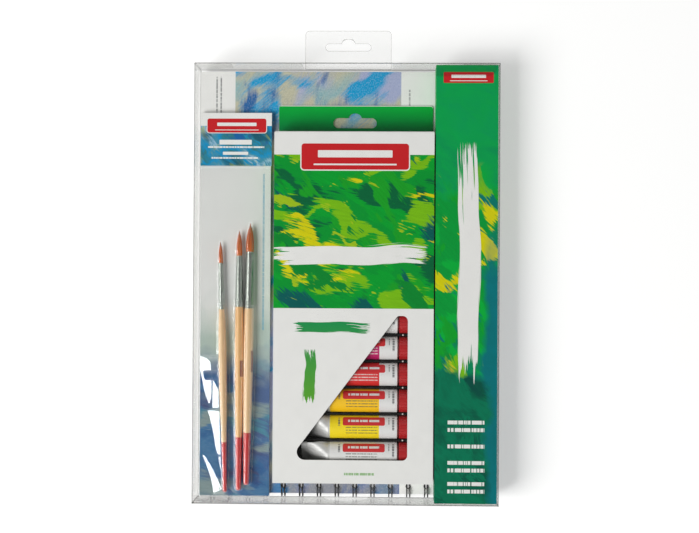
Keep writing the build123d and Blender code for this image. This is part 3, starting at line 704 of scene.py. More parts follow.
class PAINTSET_OT_carton(Operator):
    """Gives the paint carton its printed board"""

    bl_idname = "paint_set.carton"
    bl_label = "Paint Carton"

    painted_top = 89.8
    painted_foot = -17.4
    label_middle = 5.9
    tab_foot = 60.0
    tab_rim = 0.8
    tab_top_rim = 0.9
    tab_corner = 2.0
    ink_fade = (-80.0, -25.0)
    wide_stroke = ((4.7, 19.4), (106.0, 15.5))
    first_stroke = ((-8.2, -30.5), (52.0, 8.5))
    second_stroke = ((-63.5, 25.0), (36.0, 9.5))
    foot_bars = ((9.8, -132.6), (21.0, 2.2))

    def execute(self, context):
        printed = printed_board("Carton Print", self.front, context.scene.paint_set_print)
        dress(["carton_body", "carton_bottom", "carton_lid"], printed)
        return {"FINISHED"}

    def front(self, finish, place, colours):
        """White board with a painted field, a green tab with painted shade towards its foot, a plain red
        label and plain blocks.
        """
        low, high = box_in_mm("carton_body")
        board_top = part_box("carton_lid")[1].y / MM
        _, along, _ = finish.split(place)
        ground = laid_paint(finish, place, (0.0, 0.60, 0.20), (
            ((0.0, 0.66, 0.20), 30.0, 0.5, 1.3, 0.50, 0.20, 0.03),
            (colours.deep_green, 26.0, 0.2, 4.1, 0.56, 0.25, 0.03),
            ((0.10, 0.66, 0.16), 24.0, 0.9, 6.6, 0.57, 0.20, 0.03),
            (colours.leaf, 30.0, 0.15, 8.9, 0.56, 0.20, 0.02),
            ((0.0, 0.38, 0.36), 36.0, 0.8, 12.7, 0.60, 0.25, 0.03),
            (colours.yellow, 26.0, 0.3, 15.2, 0.61, 0.25, 0.02),
            ((0.02, 0.56, 0.20), 20.0, 0.7, 18.4, 0.62, 0.30, 0.02),
            ((0.66, 0.80, 0.12), 12.0, 0.4, 22.9, 0.67, 0.30, 0.02),
        ))
        field_middle = (self.painted_top + self.painted_foot) / 2
        field_height = self.painted_top - self.painted_foot
        field = finish.patch(place, 0.0, field_middle, PAST_EVERY_PIECE, field_height)
        drawn = finish.mix(field, colours.board, ground)
        tab = along > board_top
        # Painted shade: the tab's green is darker towards its foot, where it stands behind the front panel's
        # top edge.
        tab_green_painted_shade = finish.mix(finish.spread(along, board_top, high.y), colours.deep_green, colours.green)
        inside_rim = finish.patch(
            place, (low.x + high.x) / 2, self.tab_foot, high.x - low.x - self.tab_rim,
            2 * (high.y - self.tab_foot) - self.tab_top_rim, self.tab_corner,
        )
        drawn = finish.mix(tab, drawn, tab_green_painted_shade)
        drawn = finish.mix(tab * (1.0 - inside_rim), drawn, colours.board)
        drawn = finish.patches(place, drawn, self.label_middle, (
            (colours.board, 88.5, 76.6, 19.8, 2.8), (colours.label, 88.5, 75.0, 18.2, 2.1),
            (colours.board, 90.4, 52.0, 5.0, 0.45), (colours.board, 83.0, 58.0, 1.1, 0.45),
        ))
        drawn = finish.mix(finish.dry_stroke(place, *self.wide_stroke, 2.0), drawn, colours.board)
        ink = finish.mix(finish.spread(along, *self.ink_fade), (0.36, 0.66, 0.20), (0.10, 0.58, 0.32))
        first = finish.dry_stroke(place, *self.first_stroke, 7.0)
        second = finish.dry_stroke(finish.quarter_turned(place), *self.second_stroke, 4.0)
        foot_bars = finish.line_block(place, *self.foot_bars, 1.0, 0.8, 1.6)
        return finish.over(drawn, ink, first, second, foot_bars * 0.7)


class PAINTSET_OT_tray(Operator):
    """Gives the tray its formed black sheet, with a painted highlight dot on each rib"""

    bl_idname = "paint_set.tray"
    bl_label = "Tube Tray"

    rib_pitch = box_in_mm(TUBES[0])[0].y - box_in_mm(TUBES[1])[0].y
    rib_place = (box_in_mm(TUBES[0])[0].y + box_in_mm(TUBES[1])[1].y) / 2
    painted_highlight_place = 39.9
    painted_highlight_size = 1.1

    def execute(self, context):
        settings = context.scene.paint_set_tubes
        tray = Finish("Formed Tray", roughness=0.28)
        place = tray.place()
        grain = tray.effect("Moulded Grain", place, 3.0)["Grain"]
        tray.set("Roughness", tray.spread(grain, 0.3, 0.7, 0.2, 0.36))
        tray.bump(grain, 0.15, 0.0002)
        x, y, _ = tray.split(place)
        off_rib = tray.math("FRACT", (y - self.rib_place) / self.rib_pitch + 0.5) - 0.5
        on_rib = tray.join(x, off_rib * self.rib_pitch)
        # A painted highlight: a pale dot on each rib.
        highlight_dot = tray.patch(on_rib, self.painted_highlight_place, 0.0, self.painted_highlight_size, self.painted_highlight_size, self.painted_highlight_size / 2)
        tray.set("Base Color", tray.mix(highlight_dot, settings.tray, (0.85, 0.84, 0.82)))
        dress(["tube_tray"], tray)
        return {"FINISHED"}


class PAINTSET_OT_tubes(Operator):
    """Prints each aluminium tube with its paint's colour, and gives the paint inside one paste finish"""

    bl_idname = "paint_set.tubes"
    bl_label = "Paint Tubes"

    print_end = 35.9
    print_height = 60.0
    print_edge = 0.05
    label = (12.9, 4.2, 29.4, 5.5, 1.2)
    label_bars = ((12.9, 4.6), (22.0, 1.8))
    lower_bars = ((11.4, -1.8), (22.0, 6.0))
    columns = (((2.5, -33.4), (8.6, 2.4)), ((4.5, -30.4), (4.8, 1.0)), ((3.9, 4.3), (5.2, 2.2)))
    pale_from = 1.5

    def execute(self, context):
        settings = context.scene.paint_set_tubes
        red = context.scene.paint_set_print.label
        for name, shade in zip(TUBES, TUBE_COLOURS):
            dress([name], self.printed_tube(name, shade, settings, red))
        dress(["paint_fill"], Finish("Paint Paste", base_color=(0.80, 0.62, 0.12), roughness=0.45))
        return {"FINISHED"}

    def printed_tube(self, name, shade, settings, red):
        """One tube: bare metal at the crimp, a coloured label, a white ground and bare shoulder."""
        low, high = box_in_mm(name)
        tube = Finish("Print " + name)
        own = tube.place() - (0.0, (low.y + high.y) / 2, (low.z + high.z) / 2)
        left, right = settings.label_left / MM, settings.label_right / MM
        printed, coloured = (
            tube.patch(own, (left + end) / 2, 0.0, end - left, self.print_height, 0.0, self.print_edge)
            for end in (self.print_end, right)
        )
        drawn = tube.mix(coloured, settings.white, shade)
        drawn = tube.mix(tube.patch(own, *self.label), drawn, red)
        label_bars = tube.line_block(own, *self.label_bars, 1.0, 0.8, 2.6)
        drawn = tube.mix(label_bars, drawn, settings.white)
        lower_bars = tube.line_block(own, *self.lower_bars, 3.0, 0.36, 1.4)
        ink = (0.30, 0.29, 0.25) if sum(shade) > self.pale_from else (0.92, 0.90, 0.88)
        drawn = tube.mix(lower_bars * 0.75, drawn, ink)
        turned = tube.quarter_turned(own)
        for middle, size in self.columns:
            column = tube.line_block(turned, middle, size, 1.0, 0.62, 1.5)
            drawn = tube.mix(column * 0.85, drawn, (0.35, 0.35, 0.36))
        creases = tube.noise(own * (0.18, 0.5, 0.5), 1.0, 3.0, 0.55, 0.8)
        tube.set("Base Color", tube.mix(printed, settings.metal, drawn))
        tube.set("Metallic", tube.spread(printed, 0.0, 1.0, 0.62, 0.0))
        tube.set("Roughness", tube.spread(creases, 0.3, 0.7, 0.46, 0.62))
        tube.bump(creases, 0.45, 0.0006)
        return tube


class PAINTSET_OT_caps(Operator):
    """Gives the screw caps their red moulded plastic"""

    bl_idname = "paint_set.caps"
    bl_label = "Caps"

    deep_share = 0.82

    def execute(self, context):
        red = context.scene.paint_set_tubes.cap
        cap = Finish("Red Cap", roughness=0.36)
        grain = cap.effect("Moulded Grain", cap.place(), 0.7)["Grain"]
        cap.set("Base Color", cap.mix(grain, [channel * self.deep_share for channel in red], red))
        cap.bump(grain, 0.12, 0.0001)
        dress(CAPS, cap)
        return {"FINISHED"}


class PAINTSET_OT_brush_cards(Operator):
    """Prints the pouch's backing card and folded header"""

    bl_idname = "paint_set.brush_cards"
    bl_label = "Brush Cards"

    wander = 36.0
    pale_fade = (-6.0, -38.0)
    blue_fade = (-46.0, -72.0)
    side_bars = ((22.0, 59.3), (111.0, 1.5))
    strip_foot = 111.5
    strip_top = 140.0

    def execute(self, context):
        colours = context.scene.paint_set_print
        dress(["brush_card"], printed_board("Brush Card Print", self.card, colours))
        dress(["brush_header"], printed_board("Brush Header Print", self.header, colours))
        return {"FINISHED"}

    def card(self, finish, place, colours):
        """White card whose lower half fades into blue strokes."""
        ground = painted_ground(finish, place, 34.0, 0.3, 8.0, (
            (0.06, (0.18, 0.26, 0.50)), (0.3, (0.20, 0.40, 0.60)), (0.5, (0.30, 0.50, 0.66)),
            (0.68, (0.28, 0.44, 0.62)), (0.86, (0.52, 0.64, 0.74)), (0.97, (0.72, 0.80, 0.82)),
        ), 0.5, 1.0, 0.8)
        ground = laid_paint(finish, place, ground, (
            ((0.32, 0.42, 0.60), 30.0, 0.5, 11.9, 0.50, 0.2, 0.08),
            ((0.32, 0.58, 0.66), 26.0, 0.4, 2.2, 0.54, 0.2, 0.08),
            ((0.56, 0.64, 0.64), 24.0, 0.2, 7.7, 0.56, 0.2, 0.10),
            ((0.30, 0.34, 0.52), 22.0, 0.3, 17.1, 0.61, 0.2, 0.08),
        ))
        height = finish.split(place)[1] + (finish.noise(place, 0.05, 3.0) - 0.5) * self.wander
        pale = finish.mix(finish.spread(height, *self.pale_fade), colours.board, (0.73, 0.80, 0.76))
        drawn = finish.mix(finish.spread(height, *self.blue_fade), pale, ground)
        bars = finish.line_block(finish.quarter_turned(place), *self.side_bars, 1.0, 0.9, 1.2)
        return finish.mix(bars * 0.6, drawn, (0.25, 0.66, 0.80))

    def header(self, finish, place, colours):
        """Header with a white top strip, a plain red label and blue strokes below."""
        low, high = box_in_mm("brush_header")
        middle = (low.x + high.x) / 2
        ground = painted_ground(finish, place, 30.0, 0.8, 1.5, (
            (0.05, colours.deep_blue), (0.3, (0.22, 0.50, 0.52)), (0.5, (0.06, 0.58, 0.80)),
            (0.7, (0.30, 0.58, 0.66)), (0.85, (0.60, 0.76, 0.88)), (0.97, (0.72, 0.76, 0.30)),
        ), 0.3, 0.9, 0.5, 0.25)
        ground = laid_paint(finish, place, ground, (
            ((0.12, 0.38, 0.46), 24.0, 0.7, 9.1, 0.54, 0.2, 0.08),
            ((0.60, 0.68, 0.32), 20.0, 0.9, 5.5, 0.60, 0.2, 0.06),
        ))
        white = colours.board
        strip_middle = (self.strip_foot + self.strip_top) / 2
        strip = (white, strip_middle, 80.0, self.strip_top - self.strip_foot, 0.0)
        drawn = finish.patches(place, ground, middle, (strip,))
        drawn = finish.patches(place, drawn, middle + 0.4, (
            (white, 111.7, 43.0, 11.0, 2.0), (colours.label, 111.7, 42.0, 10.0, 1.5),
            (white, 112.6, 28.0, 2.4, 0.5), (white, 108.6, 31.0, 0.5, 0.2),
        ))
        drawn = finish.patches(place, drawn, middle - 0.4, (
            (white, 99.9, 23.0, 3.4, 0.4), (white, 92.0, 18.0, 2.2, 0.4),
        ))
        first_row = finish.line_block(place, (middle, 96.4), (40.0, 1.3), 1.0, 0.9, 1.4)
        second_row = finish.line_block(place, (middle - 1.0, 88.7), (33.0, 1.3), 1.0, 0.9, 1.4)
        return finish.over(drawn, white, first_row, second_row)


class PAINTSET_OT_handles(Operator):
    """Gives the brush handles their lacquered wood and red dipped ends"""

    bl_idname = "paint_set.handles"
    bl_label = "Brush Handles"

    dip_lengths = (35.5, 37.8, 37.1)
    stamps = {"brush_b": (-74.0, -60.6, 11.4), "brush_c": (-66.3, -55.5, 15.2)}
    stamp_width = 1.9
    grain_share = 0.88

    def execute(self, context):
        settings = context.scene.paint_set_brushes
        for brush, dip_length in zip(BRUSHES, self.dip_lengths):
            dress([brush + "_handle"], self.lacquered(brush, dip_length, settings))
        return {"FINISHED"}

    def lacquered(self, brush, dip_length, settings):
        """Wood with grain along the handle up from the dipped end."""
        wood = Finish("Wood " + brush, roughness=0.36, coat_weight=0.35, coat_roughness=0.16)
        place = wood.place()
        grain = wood.noise(place * (2.6, 0.09, 2.6), 1.0, 4.0, 0.6, 0.4)
        pale = settings.warm_wood if brush == "brush_b" else settings.wood
        dark = [channel * self.grain_share for channel in pale]
        body = wood.mix(wood.spread(grain, 0.35, 0.7), pale, dark)
        body = wood.mix(self.stamp(wood, place, brush), body, (0.55, 0.22, 0.13))
        dipped = wood.split(place)[1] < box_in_mm(brush + "_handle")[0].y + dip_length
        wood.set("Base Color", wood.mix(dipped, body, settings.dip))
        return wood

    def stamp(self, wood, place, brush):
        """A plain worn bar pressed into the right flank of the two larger handles."""
        if brush not in self.stamps:
            return 0.0
        across, along, bar_length = self.stamps[brush]
        bar = wood.patch(place, across, along, self.stamp_width, bar_length, 0.3)
        return bar * wood.spread(wood.noise(place, 1.6, 2.0), 0.35, 0.6, 0.75, 1.0)


class PAINTSET_OT_ferrules(Operator):
    """Gives the ferrules their bright drawn metal"""

    bl_idname = "paint_set.ferrules"
    bl_label = "Ferrules"

    def execute(self, context):
        metal = Finish("Drawn Ferrule", base_color=(0.62, 0.64, 0.61), metallic=1.0, roughness=0.25)
        drawn = metal.noise(metal.place() * (6.0, 0.25, 6.0), 1.0, 3.0, 0.6)
        metal.set("Roughness", metal.spread(drawn, 0.3, 0.7, 0.22, 0.38))
        metal.bump(drawn, 0.1, 0.0001)
        dress([brush + "_ferrule" for brush in BRUSHES], metal)
        return {"FINISHED"}


def add_object(name, data):
    """A new object in the scene that shows a mesh, a lamp or a camera."""
    added = bpy.data.objects.new(name, data)
    bpy.context.scene.collection.objects.link(added)
    return added


def mesh_piece(name, points, faces, finish, body):
    """A new smooth mesh piece that rides on a body and takes its finish from a slot."""
    mesh = bpy.data.meshes.new(name)
    mesh.from_pydata([tuple(point) for point in points], [], faces)
    mesh.materials.append(finish.material)
    mesh.polygons.foreach_set("use_smooth", [True] * len(mesh.polygons))
    mesh.validate()
    piece = add_object(name, mesh)
    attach(piece, body)
    return piece


def ring_faces(first, rings, sides):
    """The faces of one closed form: walls between rings of points, and an end on each side."""
    faces = []
    for ring in range(rings - 1):
        for side in range(sides):
            a = first + ring * sides + side
            b = first + ring * sides + (side + 1) % sides
            faces.append((a, b, b + sides, a + sides))
    last = first + (rings - 1) * sides
    faces.append(tuple(first + side for side in reversed(range(sides))))
    faces.append(tuple(last + side for side in range(sides)))
    return faces


class PAINTSET_OT_bristles(Operator):
    """Builds each brush head from tapering filaments drawn to a point"""

    bl_idname = "paint_set.bristles"
    bl_label = "Bristles"

    ring_places = (0.0, 0.12, 0.28, 0.46, 0.64, 0.80, 0.92, 1.0)
    head_outline = (1.0, 1.08, 1.13, 1.04, 0.82, 0.52, 0.25, 0.06)
    strand_sides = 4
    end_depth = 0.3 * MM
    outermost = 0.97
    outer_loss = 0.34
    most_sway = 0.05
    taper = 0.72

    def execute(self, context):
        settings = context.scene.paint_set_brushes
        hair = Finish("Golden Filament", roughness=0.42)
        fine = hair.noise(hair.place() * (9.0, 0.4, 9.0), 1.0, 2.0)
        hair.set("Base Color", hair.mix(hair.spread(fine, 0.3, 0.7), settings.bristle, settings.bristle_tip))
        for brush in BRUSHES:
            self.head(brush, settings.strands, hair)
        return {"FINISHED"}

    def head(self, brush, count, hair):
        """One round pointed head: the outer filaments are shorter and all bend to the point."""
        root, tip, root_radius = self.ends(brush + "_head")
        axis = (tip - root).normalized()
        side = axis.cross(Vector((0, 0, 1))).normalized()
        up = side.cross(axis)
        head_length = (tip - root).length
        golden = pi * (3 - sqrt(5))
        random = np.random.default_rng(len(brush) + ord(brush[-1]))
        points, faces = [], []
        for i in range(count):
            out = sqrt((i + 0.5) / count) * self.outermost
            turn = i * golden
            reach = 1 - self.outer_loss * out ** 2 * random.uniform(0.55, 1.0)
            thick = root_radius * sqrt(1 / count) * random.uniform(0.9, 1.15)
            sway = random.uniform(-self.most_sway, self.most_sway)
            faces += ring_faces(len(points), len(self.ring_places), self.strand_sides)
            for place in self.ring_places:
                along = place * reach
                spread = np.interp(along, self.ring_places, self.head_outline) * root_radius
                angle = turn + sway * place * 2
                centre = root + axis * (along * head_length)
                centre = centre + (side * cos(angle) + up * sin(angle)) * (out * spread)
                width = thick * (1 - self.taper * place)
                for corner in range(self.strand_sides):
                    bend = turn + corner * 2 * pi / self.strand_sides
                    points.append(centre + (side * cos(bend) + up * sin(bend)) * width)
        head = mesh_piece(brush + "_filaments", points, faces, hair, "brush_pack")
        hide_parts(brush + "_head")

    def ends(self, node):
        """The middles of a head's root and tip, and the radius of its root."""
        points = np.array([v.co for v in NODES[node].data.vertices])
        along = points[:, 1]
        root = points[along < along.min() + self.end_depth]
        tip = points[along > along.max() - self.end_depth]
        radius = (root[:, 0].max() - root[:, 0].min()) / 2
        return Vector(root.mean(axis=0)), Vector(tip.mean(axis=0)), radius


class PAINTSET_OT_pouch(Operator):
    """Drapes the clear pouch over the brushes as a taut film with creases"""

    bl_idname = "paint_set.pouch"
    bl_label = "Brush Pouch"

    columns = 150
    rows = 500
    card_gap = 0.08 * MM
    seam_height = 0.7 * MM
    header_height = 1.25 * MM
    header_overlap = 1.5 * MM
    flank_slope = 3.0
    fold_slope = 0.31
    pane_width = 0.007
    pane_height = 0.045
    pane_slant = -0.2
    pane_seed = 9
    pane_shift = 0.45
    left_depth = (0.45, 0.25)
    foot_depth = (0.6, 0.12)
    flat_side = 0.004
    ray_start = 0.1
    # Each fold beside the first brush: up or down, then rows of height, start and end in millimetres
    folds = (
        (1, (
            (-51.4, -104.0, -104.0), (-53.2, -104.0, -99.0), (-55.6, -104.0, -96.5),
            (-61.3, -104.0, -95.6), (-68.4, -102.6, -95.5), (-75.5, -101.0, -95.5),
            (-81.1, -99.5, -95.8), (-84.6, -98.0, -96.8), (-86.1, -97.0, -97.0),
        )),
        (-1, (
            (-62.4, -101.0, -101.0), (-63.4, -102.0, -95.2), (-67.7, -101.0, -95.2),
            (-68.8, -100.0, -100.0),
        )),
        (1, (
            (-67.7, -94.4, -94.4), (-70.5, -94.5, -93.2), (-76.2, -94.6, -90.3), (-83.3, -94.9, -87.8),
            (-89.4, -95.1, -86.7), (-90.2, -98.4, -86.6), (-91.6, -98.2, -86.6), (-93.9, -97.3, -86.6),
            (-103.8, -94.8, -86.7), (-117.0, -92.4, -86.8), (-130.0, -89.3, -87.0), (-135.0, -87.5, -87.5),
        )),
        (1, (
            (-121.5, -101.9, -101.9), (-123.6, -101.3, -99.7), (-127.2, -99.9, -97.2),
            (-133.1, -97.6, -93.9), (-139.2, -95.6, -90.8), (-144.9, -94.3, -88.3),
            (-147.4, -94.2, -88.8), (-149.5, -94.0, -92.3), (-150.6, -93.9, -93.9),
        )),
    )

    def execute(self, context):
        settings = context.scene.paint_set_film
        low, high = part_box("brush_pouch")
        x = np.linspace(low.x, high.x, self.columns)
        y = np.linspace(low.y, high.y, self.rows)
        left_of_brush, over_brushes = self.over_brushes(x, y, settings.pouch_lift)
        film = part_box("brush_card")[1].z + self.card_gap + self.left_folds(x, y) * left_of_brush
        film = np.maximum(film, over_brushes)
        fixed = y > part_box("brush_header")[0].y - self.header_overlap
        film += self.panes(x, y, settings.pouch_crease) * (~fixed)[:, None]
        film[fixed, 1:-1] = low.z + self.header_height
        film[:, 0] = film[:, -1] = film[0] = low.z + self.seam_height
        film = np.minimum(film, high.z)
        points = self.bag(x, y, film, low.z)
        faces = ring_faces(0, len(y), len(x) + 2)
        pouch = mesh_piece("pouch_film", points, faces, self.film(settings), "brush_pack")
        shell = pouch.modifiers.new("film thickness", "SOLIDIFY")
        shell.thickness = settings.pouch_thickness
        shell.offset = -1.0
        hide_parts("brush_pouch")
        return {"FINISHED"}

    def over_brushes(self, x, y, lift):
        """The film over the brushes: flat along each crest, then down both flanks at one slope."""
        film = np.full((len(y), len(x)), -1.0)
        left = np.ones((len(y), len(x)))
        slope = self.flank_slope * x
        for brush in BRUSHES:
            tops = np.full((len(y), len(x)), -1.0)
            for part in ("_handle", "_ferrule", "_head"):
                self.measure(brush + part, x, y, tops)
            for row in np.nonzero(tops.max(axis=1) > 0)[0]:
                under = np.nonzero(tops[row] > 0)[0]
                heights = tops[row, under]
                rise = (heights - slope[under]).max() + slope
                fall = (heights + slope[under]).max() - slope
                tent = np.minimum(np.minimum(rise, fall), heights.max()) + lift
                film[row] = np.maximum(film[row], tent)
                if brush == BRUSHES[0]:
                    left[row] = x < x[under].mean()
        first = np.nonzero(left.min(axis=1) == 0)[0][0]
        left[:first] = left[first]
        return left, film

    def measure(self, node, x, y, tops):
        """Adds how high a node stands at each point of the grid."""
        mesh = NODES[node].data
        faces = [face.vertices[:] for face in mesh.polygons]
        tree = BVHTree.FromPolygons([vertex.co for vertex in mesh.vertices], faces)
        low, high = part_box(node)
        for row in np.nonzero((y > low.y) & (y < high.y))[0]:
            for column in np.nonzero((x > low.x) & (x < high.x))[0]:
                start = Vector((x[column], y[row], self.ray_start))
                hit, _, _, _ = tree.ray_cast(start, DOWN)
                if hit is not None:
                    tops[row, column] = max(tops[row, column], hit.z)

    def left_folds(self, x, y):
        """Where the film lifts off the card in flat slanting folds, beside the first brush."""
        lift = np.zeros((len(y), len(x)))
        for sign, outline in self.folds:
            along, left, right = np.array(outline[::-1]).T * MM
            start = np.interp(y, along, left)[:, None]
            end = np.interp(y, along, right)[:, None]
            lift += sign * self.fold_slope * np.clip(x[None, :] - start, 0, end - start)
        return np.maximum(lift, 0)

    def film(self, settings):
        """Thin glossy film. Lamps shine straight through it, and the eye sees its gloss."""
        film = Finish(
            "Clear Pouch Film", base_color=settings.pouch_tint, roughness=settings.pouch_gloss,
            ior=settings.ior, transmission_weight=1.0,
        )
        marks = film.effect("Handling", film.place(), 0.7)
        film.set("Roughness", marks["Scratch"] * 0.05 + settings.pouch_gloss)
        film.set("Alpha", 1.0 - film.lit_paths())
        return film

    def panes(self, x, y, depth):
        """Flat panes between sharp creases: uneven points, at uneven heights, joined by long triangles."""
        random = np.random.default_rng(self.pane_seed)
        corners = []
        width, height = self.pane_width, self.pane_height
        lean = abs(self.pane_slant) * (y.max() - y.min())
        for across in np.arange(x.min() - lean, x.max() + lean, width):
            for up in np.arange(y.min() - height, y.max() + 2 * height, height):
                shift = random.uniform(-self.pane_shift, self.pane_shift, 2)
                high = up + shift[1] * height
                corners.append(Vector((across + shift[0] * width + self.pane_slant * high, high)))
        heights = random.uniform(0, 1, len(corners)) * depth
        places, _, triangles, origins, _, _ = delaunay_2d_cdt(corners, [], [], 0, 0.00001)
        points = [(place.x, place.y, heights[origin[0]]) for place, origin in zip(places, origins)]
        tree = BVHTree.FromPolygons(points, triangles)
        relief = np.zeros((len(y), len(x)))
        for row, up in enumerate(y):
            for column, across in enumerate(x):
                hit, _, _, _ = tree.ray_cast(Vector((across, up, 1.0)), DOWN)
                relief[row, column] = hit.z
        left = self.fading(x, *self.left_depth)
        foot = self.fading(y, *self.foot_depth)
        sides = np.clip(np.minimum(x - x.min(), x.max() - x) / self.flat_side, 0, 1)
        return relief * foot[:, None] * (left * sides)[None, :]

    def fading(self, places, middle, least):
        """How deep the creases are from one side of the pouch to the other: full, middle and least."""
        return np.clip((places.mean() - places) / (places.max() - places.min()) * 2 + middle, least, 1)

    def bag(self, x, y, film, back):
        """Rings of points for the closed bag: the draped front sheet and a flat back sheet."""
        points = []
        for row, up in enumerate(y):
            points += [(across, up, film[row, column]) for column, across in enumerate(x)]
            points += [(x[-1], up, back), (x[0], up, back)]
        return points


class PAINTSET_OT_sleeve(Operator):
    """Prints the side sleeve"""

    bl_idname = "paint_set.sleeve"
    bl_label = "Side Sleeve"

    print_depth = 0.15
    sway = 90.0
    bright_fade = (76.0, 58.0)
    deep_fade = (-52.0, -62.0)
    teal_fade = (40.0, 10.0)
    teal_start = 12.0
    teal_full = 17.0
    label_middle = 84.6
    long_stroke = ((21.6, -84.8), (157.0, 17.6))
    bars_middle = 83.9
    bars_width = 25.6
    row_height = 5.2
    bar_rows = {-98.6: 2, -112.6: 1, -126.6: 2, -141.2: 2}

    def execute(self, context):
        dress(["side_sleeve"], printed_board("Sleeve Print", self.printed, context.scene.paint_set_print))
        return {"FINISHED"}

    def printed(self, finish, place, colours):
        """Green strokes that turn to teal below, a plain red label and plain white blocks."""
        low, high = box_in_mm("side_sleeve")
        middle = (low.x + high.x) / 2
        across, along, _ = finish.split(place)
        bright = laid_paint(finish, place, colours.green, (
            ((0.0, 0.64, 0.24), 30.0, 0.8, 3.3, 0.50, 0.2, 0.03),
            ((0.0, 0.56, 0.36), 30.0, 1.0, 31.1, 0.57, 0.2, 0.03),
            (colours.leaf, 34.0, 1.1, 33.6, 0.56, 0.2, 0.02),
            (colours.yellow, 26.0, 0.7, 38.9, 0.62, 0.25, 0.02),
            ((0.0, 0.50, 0.44), 30.0, 0.9, 42.7, 0.62, 0.25, 0.03),
            ((0.05, 0.66, 0.18), 18.0, 1.2, 45.2, 0.60, 0.3, 0.02),
        ))
        calm = painted_ground(finish, place, 60.0, 0.4, 27.0, (
            (0.1, (0.0, 0.58, 0.34)), (0.5, (0.0, 0.66, 0.31)), (0.9, (0.0, 0.61, 0.36)),
        ), 0.3)
        deep = painted_ground(finish, place, 50.0, 0.9, 33.0, (
            (0.08, (0.0, 0.30, 0.26)), (0.4, (0.0, 0.38, 0.28)), (0.6, (0.0, 0.48, 0.34)),
            (0.85, (0.0, 0.42, 0.30)), (0.97, (0.0, 0.62, 0.30)),
        ), 0.45)
        sway = (finish.noise(place, 0.03, 4.0) - 0.5) * self.sway
        height = along + sway
        drawn = finish.mix(finish.spread(height, *self.bright_fade), calm, bright)
        drawn = finish.mix(finish.spread(height, *self.deep_fade), drawn, deep)
        side = finish.spread(sway * 0.35 + across, middle + self.teal_start, middle + self.teal_full)
        teal = finish.mix(finish.noise(place, 0.09, 3.0), (0.0, 0.42, 0.42), colours.teal)
        drawn = finish.mix(side * finish.spread(height, *self.teal_fade), drawn, teal)
        drawn = finish.patches(place, drawn, self.label_middle, (
            (colours.label, 143.7, 34.8, 7.6, 0.8), (colours.board, 144.5, 24.0, 2.2, 0.4),
            (colours.board, 141.4, 26.0, 0.5, 0.2),
        ))
        masks = [finish.dry_stroke(finish.quarter_turned(place), *self.long_stroke, 12.0)]
        for middle_y, rows in self.bar_rows.items():
            size = (self.bars_width, self.row_height * rows)
            masks.append(finish.line_block(place, (self.bars_middle, middle_y), size, rows, 0.5, 2.2))
        drawn = finish.over(drawn, colours.board, *masks)
        return finish.mix(self.outside(finish, place, low, high), colours.board, drawn)

    def outside(self, finish, place, low, high):
        """The outer faces of the folded board: the inner ones are bare."""
        x, _, z = finish.split(place)
        from_side = (high.x - low.x) / 2 - abs(x - (low.x + high.x) / 2)
        from_face = (high.z - low.z) / 2 - abs(z - (low.z + high.z) / 2)
        return finish.lowest(from_side, from_face) < self.print_depth


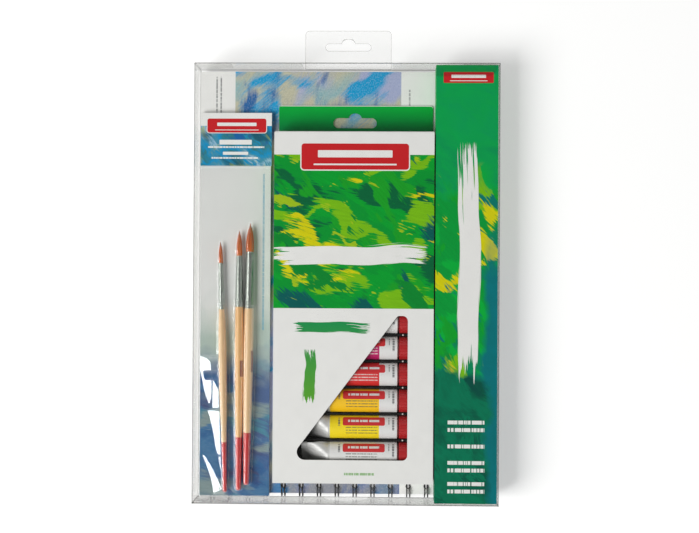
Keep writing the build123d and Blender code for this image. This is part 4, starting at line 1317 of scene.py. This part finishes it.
class PAINTSET_OT_stage(Operator):
    """Sets up the floor, the soft lamps, the pale surroundings and the camera"""

    bl_idname = "paint_set.stage"
    bl_label = "Stage"

    film_layers = 32
    floor_half = 3.0
    floor_drop = -0.00005
    lamp_places = {"key_lamp": (-1.90, -0.90, 2.10), "glint_lamp": (-1.40, -1.10, 2.60)}
    lamp_sizes = {"key_lamp": 1.9, "glint_lamp": 0.24}
    camera_place = (0.027514, 0.002636, 0.97682)
    camera_turn = (0.0096974, 0.0265175, 0.0053614)

    def execute(self, context):
        settings = context.scene.paint_set_stage
        context.scene.view_settings.view_transform = "Standard"
        context.scene.cycles.transparent_max_bounces = self.film_layers
        self.floor(settings)
        self.lamp("key_lamp", settings.key)
        self.lamp("glint_lamp", settings.glint)
        self.surroundings(context.scene, settings)
        self.camera(context.scene, settings)
        return {"FINISHED"}

    def floor(self, settings):
        """A plain pale floor that looks white to the eye and keeps its shadows."""
        half, drop = self.floor_half, self.floor_drop
        corners = [(-half, -half, drop), (half, -half, drop), (half, half, drop), (-half, half, drop)]
        mesh = bpy.data.meshes.new("floor")
        mesh.from_pydata(corners, [], [(0, 1, 2, 3)])
        pale = Finish("Pale Floor", base_color=(0.88, 0.88, 0.87, 1), roughness=0.9, specular_ior_level=0.0)
        pale.set("Emission Color", pale.mix(pale.seen_paths(), BLACK, WHITE))
        pale.set("Emission Strength", settings.floor_lift)
        mesh.materials.append(pale.material)
        add_object("floor", mesh)

    def lamp(self, name, power):
        """A round soft lamp that points at the set."""
        place = Vector(self.lamp_places[name])
        lamp = bpy.data.lights.new(name, "AREA")
        lamp.energy = power
        lamp.shape = "DISK"
        lamp.size = self.lamp_sizes[name]
        holder = add_object(name, lamp)
        holder.location = place
        holder.rotation_euler = place.to_track_quat("Z", "Y").to_euler()

    def surroundings(self, scene, settings):
        """Even light all round that shows white to the camera, with a dimmer ceiling overhead."""
        world = bpy.data.worlds.new("Pale Studio")
        world.use_nodes = True
        nodes = Nodes(world.node_tree)
        height = nodes.split(nodes.add("TexCoord")["Generated"])[2]
        white = nodes.ramp(height, ((0.0, WHITE), (0.70, WHITE), (0.96, (0.12, 0.12, 0.12, 1))))
        light = (settings.fill, settings.fill, settings.fill, 1)
        background = world.node_tree.nodes["Background"]
        nodes.feed(background.inputs["Color"], nodes.mix(nodes.seen_paths(), light, white))
        scene.world = world

    def camera(self, scene, settings):
        """The camera as it stood above the set."""
        data = bpy.data.cameras.new("camera")
        data.lens = settings.lens
        data.sensor_width = 36.0
        data.clip_end = 20.0
        turn = Matrix.Identity(4)
        for angle, axis in zip(self.camera_turn, "XYZ"):
            turn = turn @ Matrix.Rotation(angle, 4, axis)
        scene.camera = add_object("camera", data)
        scene.camera.matrix_world = Matrix.Translation(self.camera_place) @ turn


PIECES = (
    PAINTSET_OT_clear_box, PAINTSET_OT_manual, PAINTSET_OT_pad, PAINTSET_OT_carton, PAINTSET_OT_tray,
    PAINTSET_OT_tubes, PAINTSET_OT_caps, PAINTSET_OT_brush_cards, PAINTSET_OT_handles,
    PAINTSET_OT_ferrules, PAINTSET_OT_bristles, PAINTSET_OT_pouch, PAINTSET_OT_sleeve,
    PAINTSET_OT_stage,
)


class PAINTSET_PT_looks(Panel):
    """Lists the pieces and their settings"""

    bl_idname = "PAINTSET_PT_looks"
    bl_label = "Paint Set"
    bl_space_type = "VIEW_3D"
    bl_region_type = "UI"
    bl_category = "Paint Set"

    def draw(self, context):
        for piece in PIECES:
            self.layout.operator(piece.bl_idname)
        for name, group in SETTINGS.items():
            box = self.layout.box()
            for label in group.__annotations__:
                box.prop(getattr(context.scene, name), label)


def register():
    for group in SETTINGS.values():
        bpy.utils.register_class(group)
    for name, group in SETTINGS.items():
        setattr(bpy.types.Scene, name, PointerProperty(type=group))
    for piece in PIECES:
        bpy.utils.register_class(piece)
    bpy.utils.register_class(PAINTSET_PT_looks)


def unregister():
    bpy.utils.unregister_class(PAINTSET_PT_looks)
    for piece in reversed(PIECES):
        bpy.utils.unregister_class(piece)
    for name in SETTINGS:
        delattr(bpy.types.Scene, name)
    for group in SETTINGS.values():
        bpy.utils.unregister_class(group)


def make_effects():
    """Builds each shared effect once."""
    for make in (
        make_printed_patch, make_line_block, make_brush_strokes, make_laid_paint, make_dry_stroke,
        make_board_fibre, make_handling, make_moulded_grain,
    ):
        make()


def main():
    register()
    make_effects()
    for piece in PIECES:
        group, name = piece.bl_idname.split(".")
        getattr(getattr(bpy.ops, group), name)()


if __name__ == "__main__":
    main()
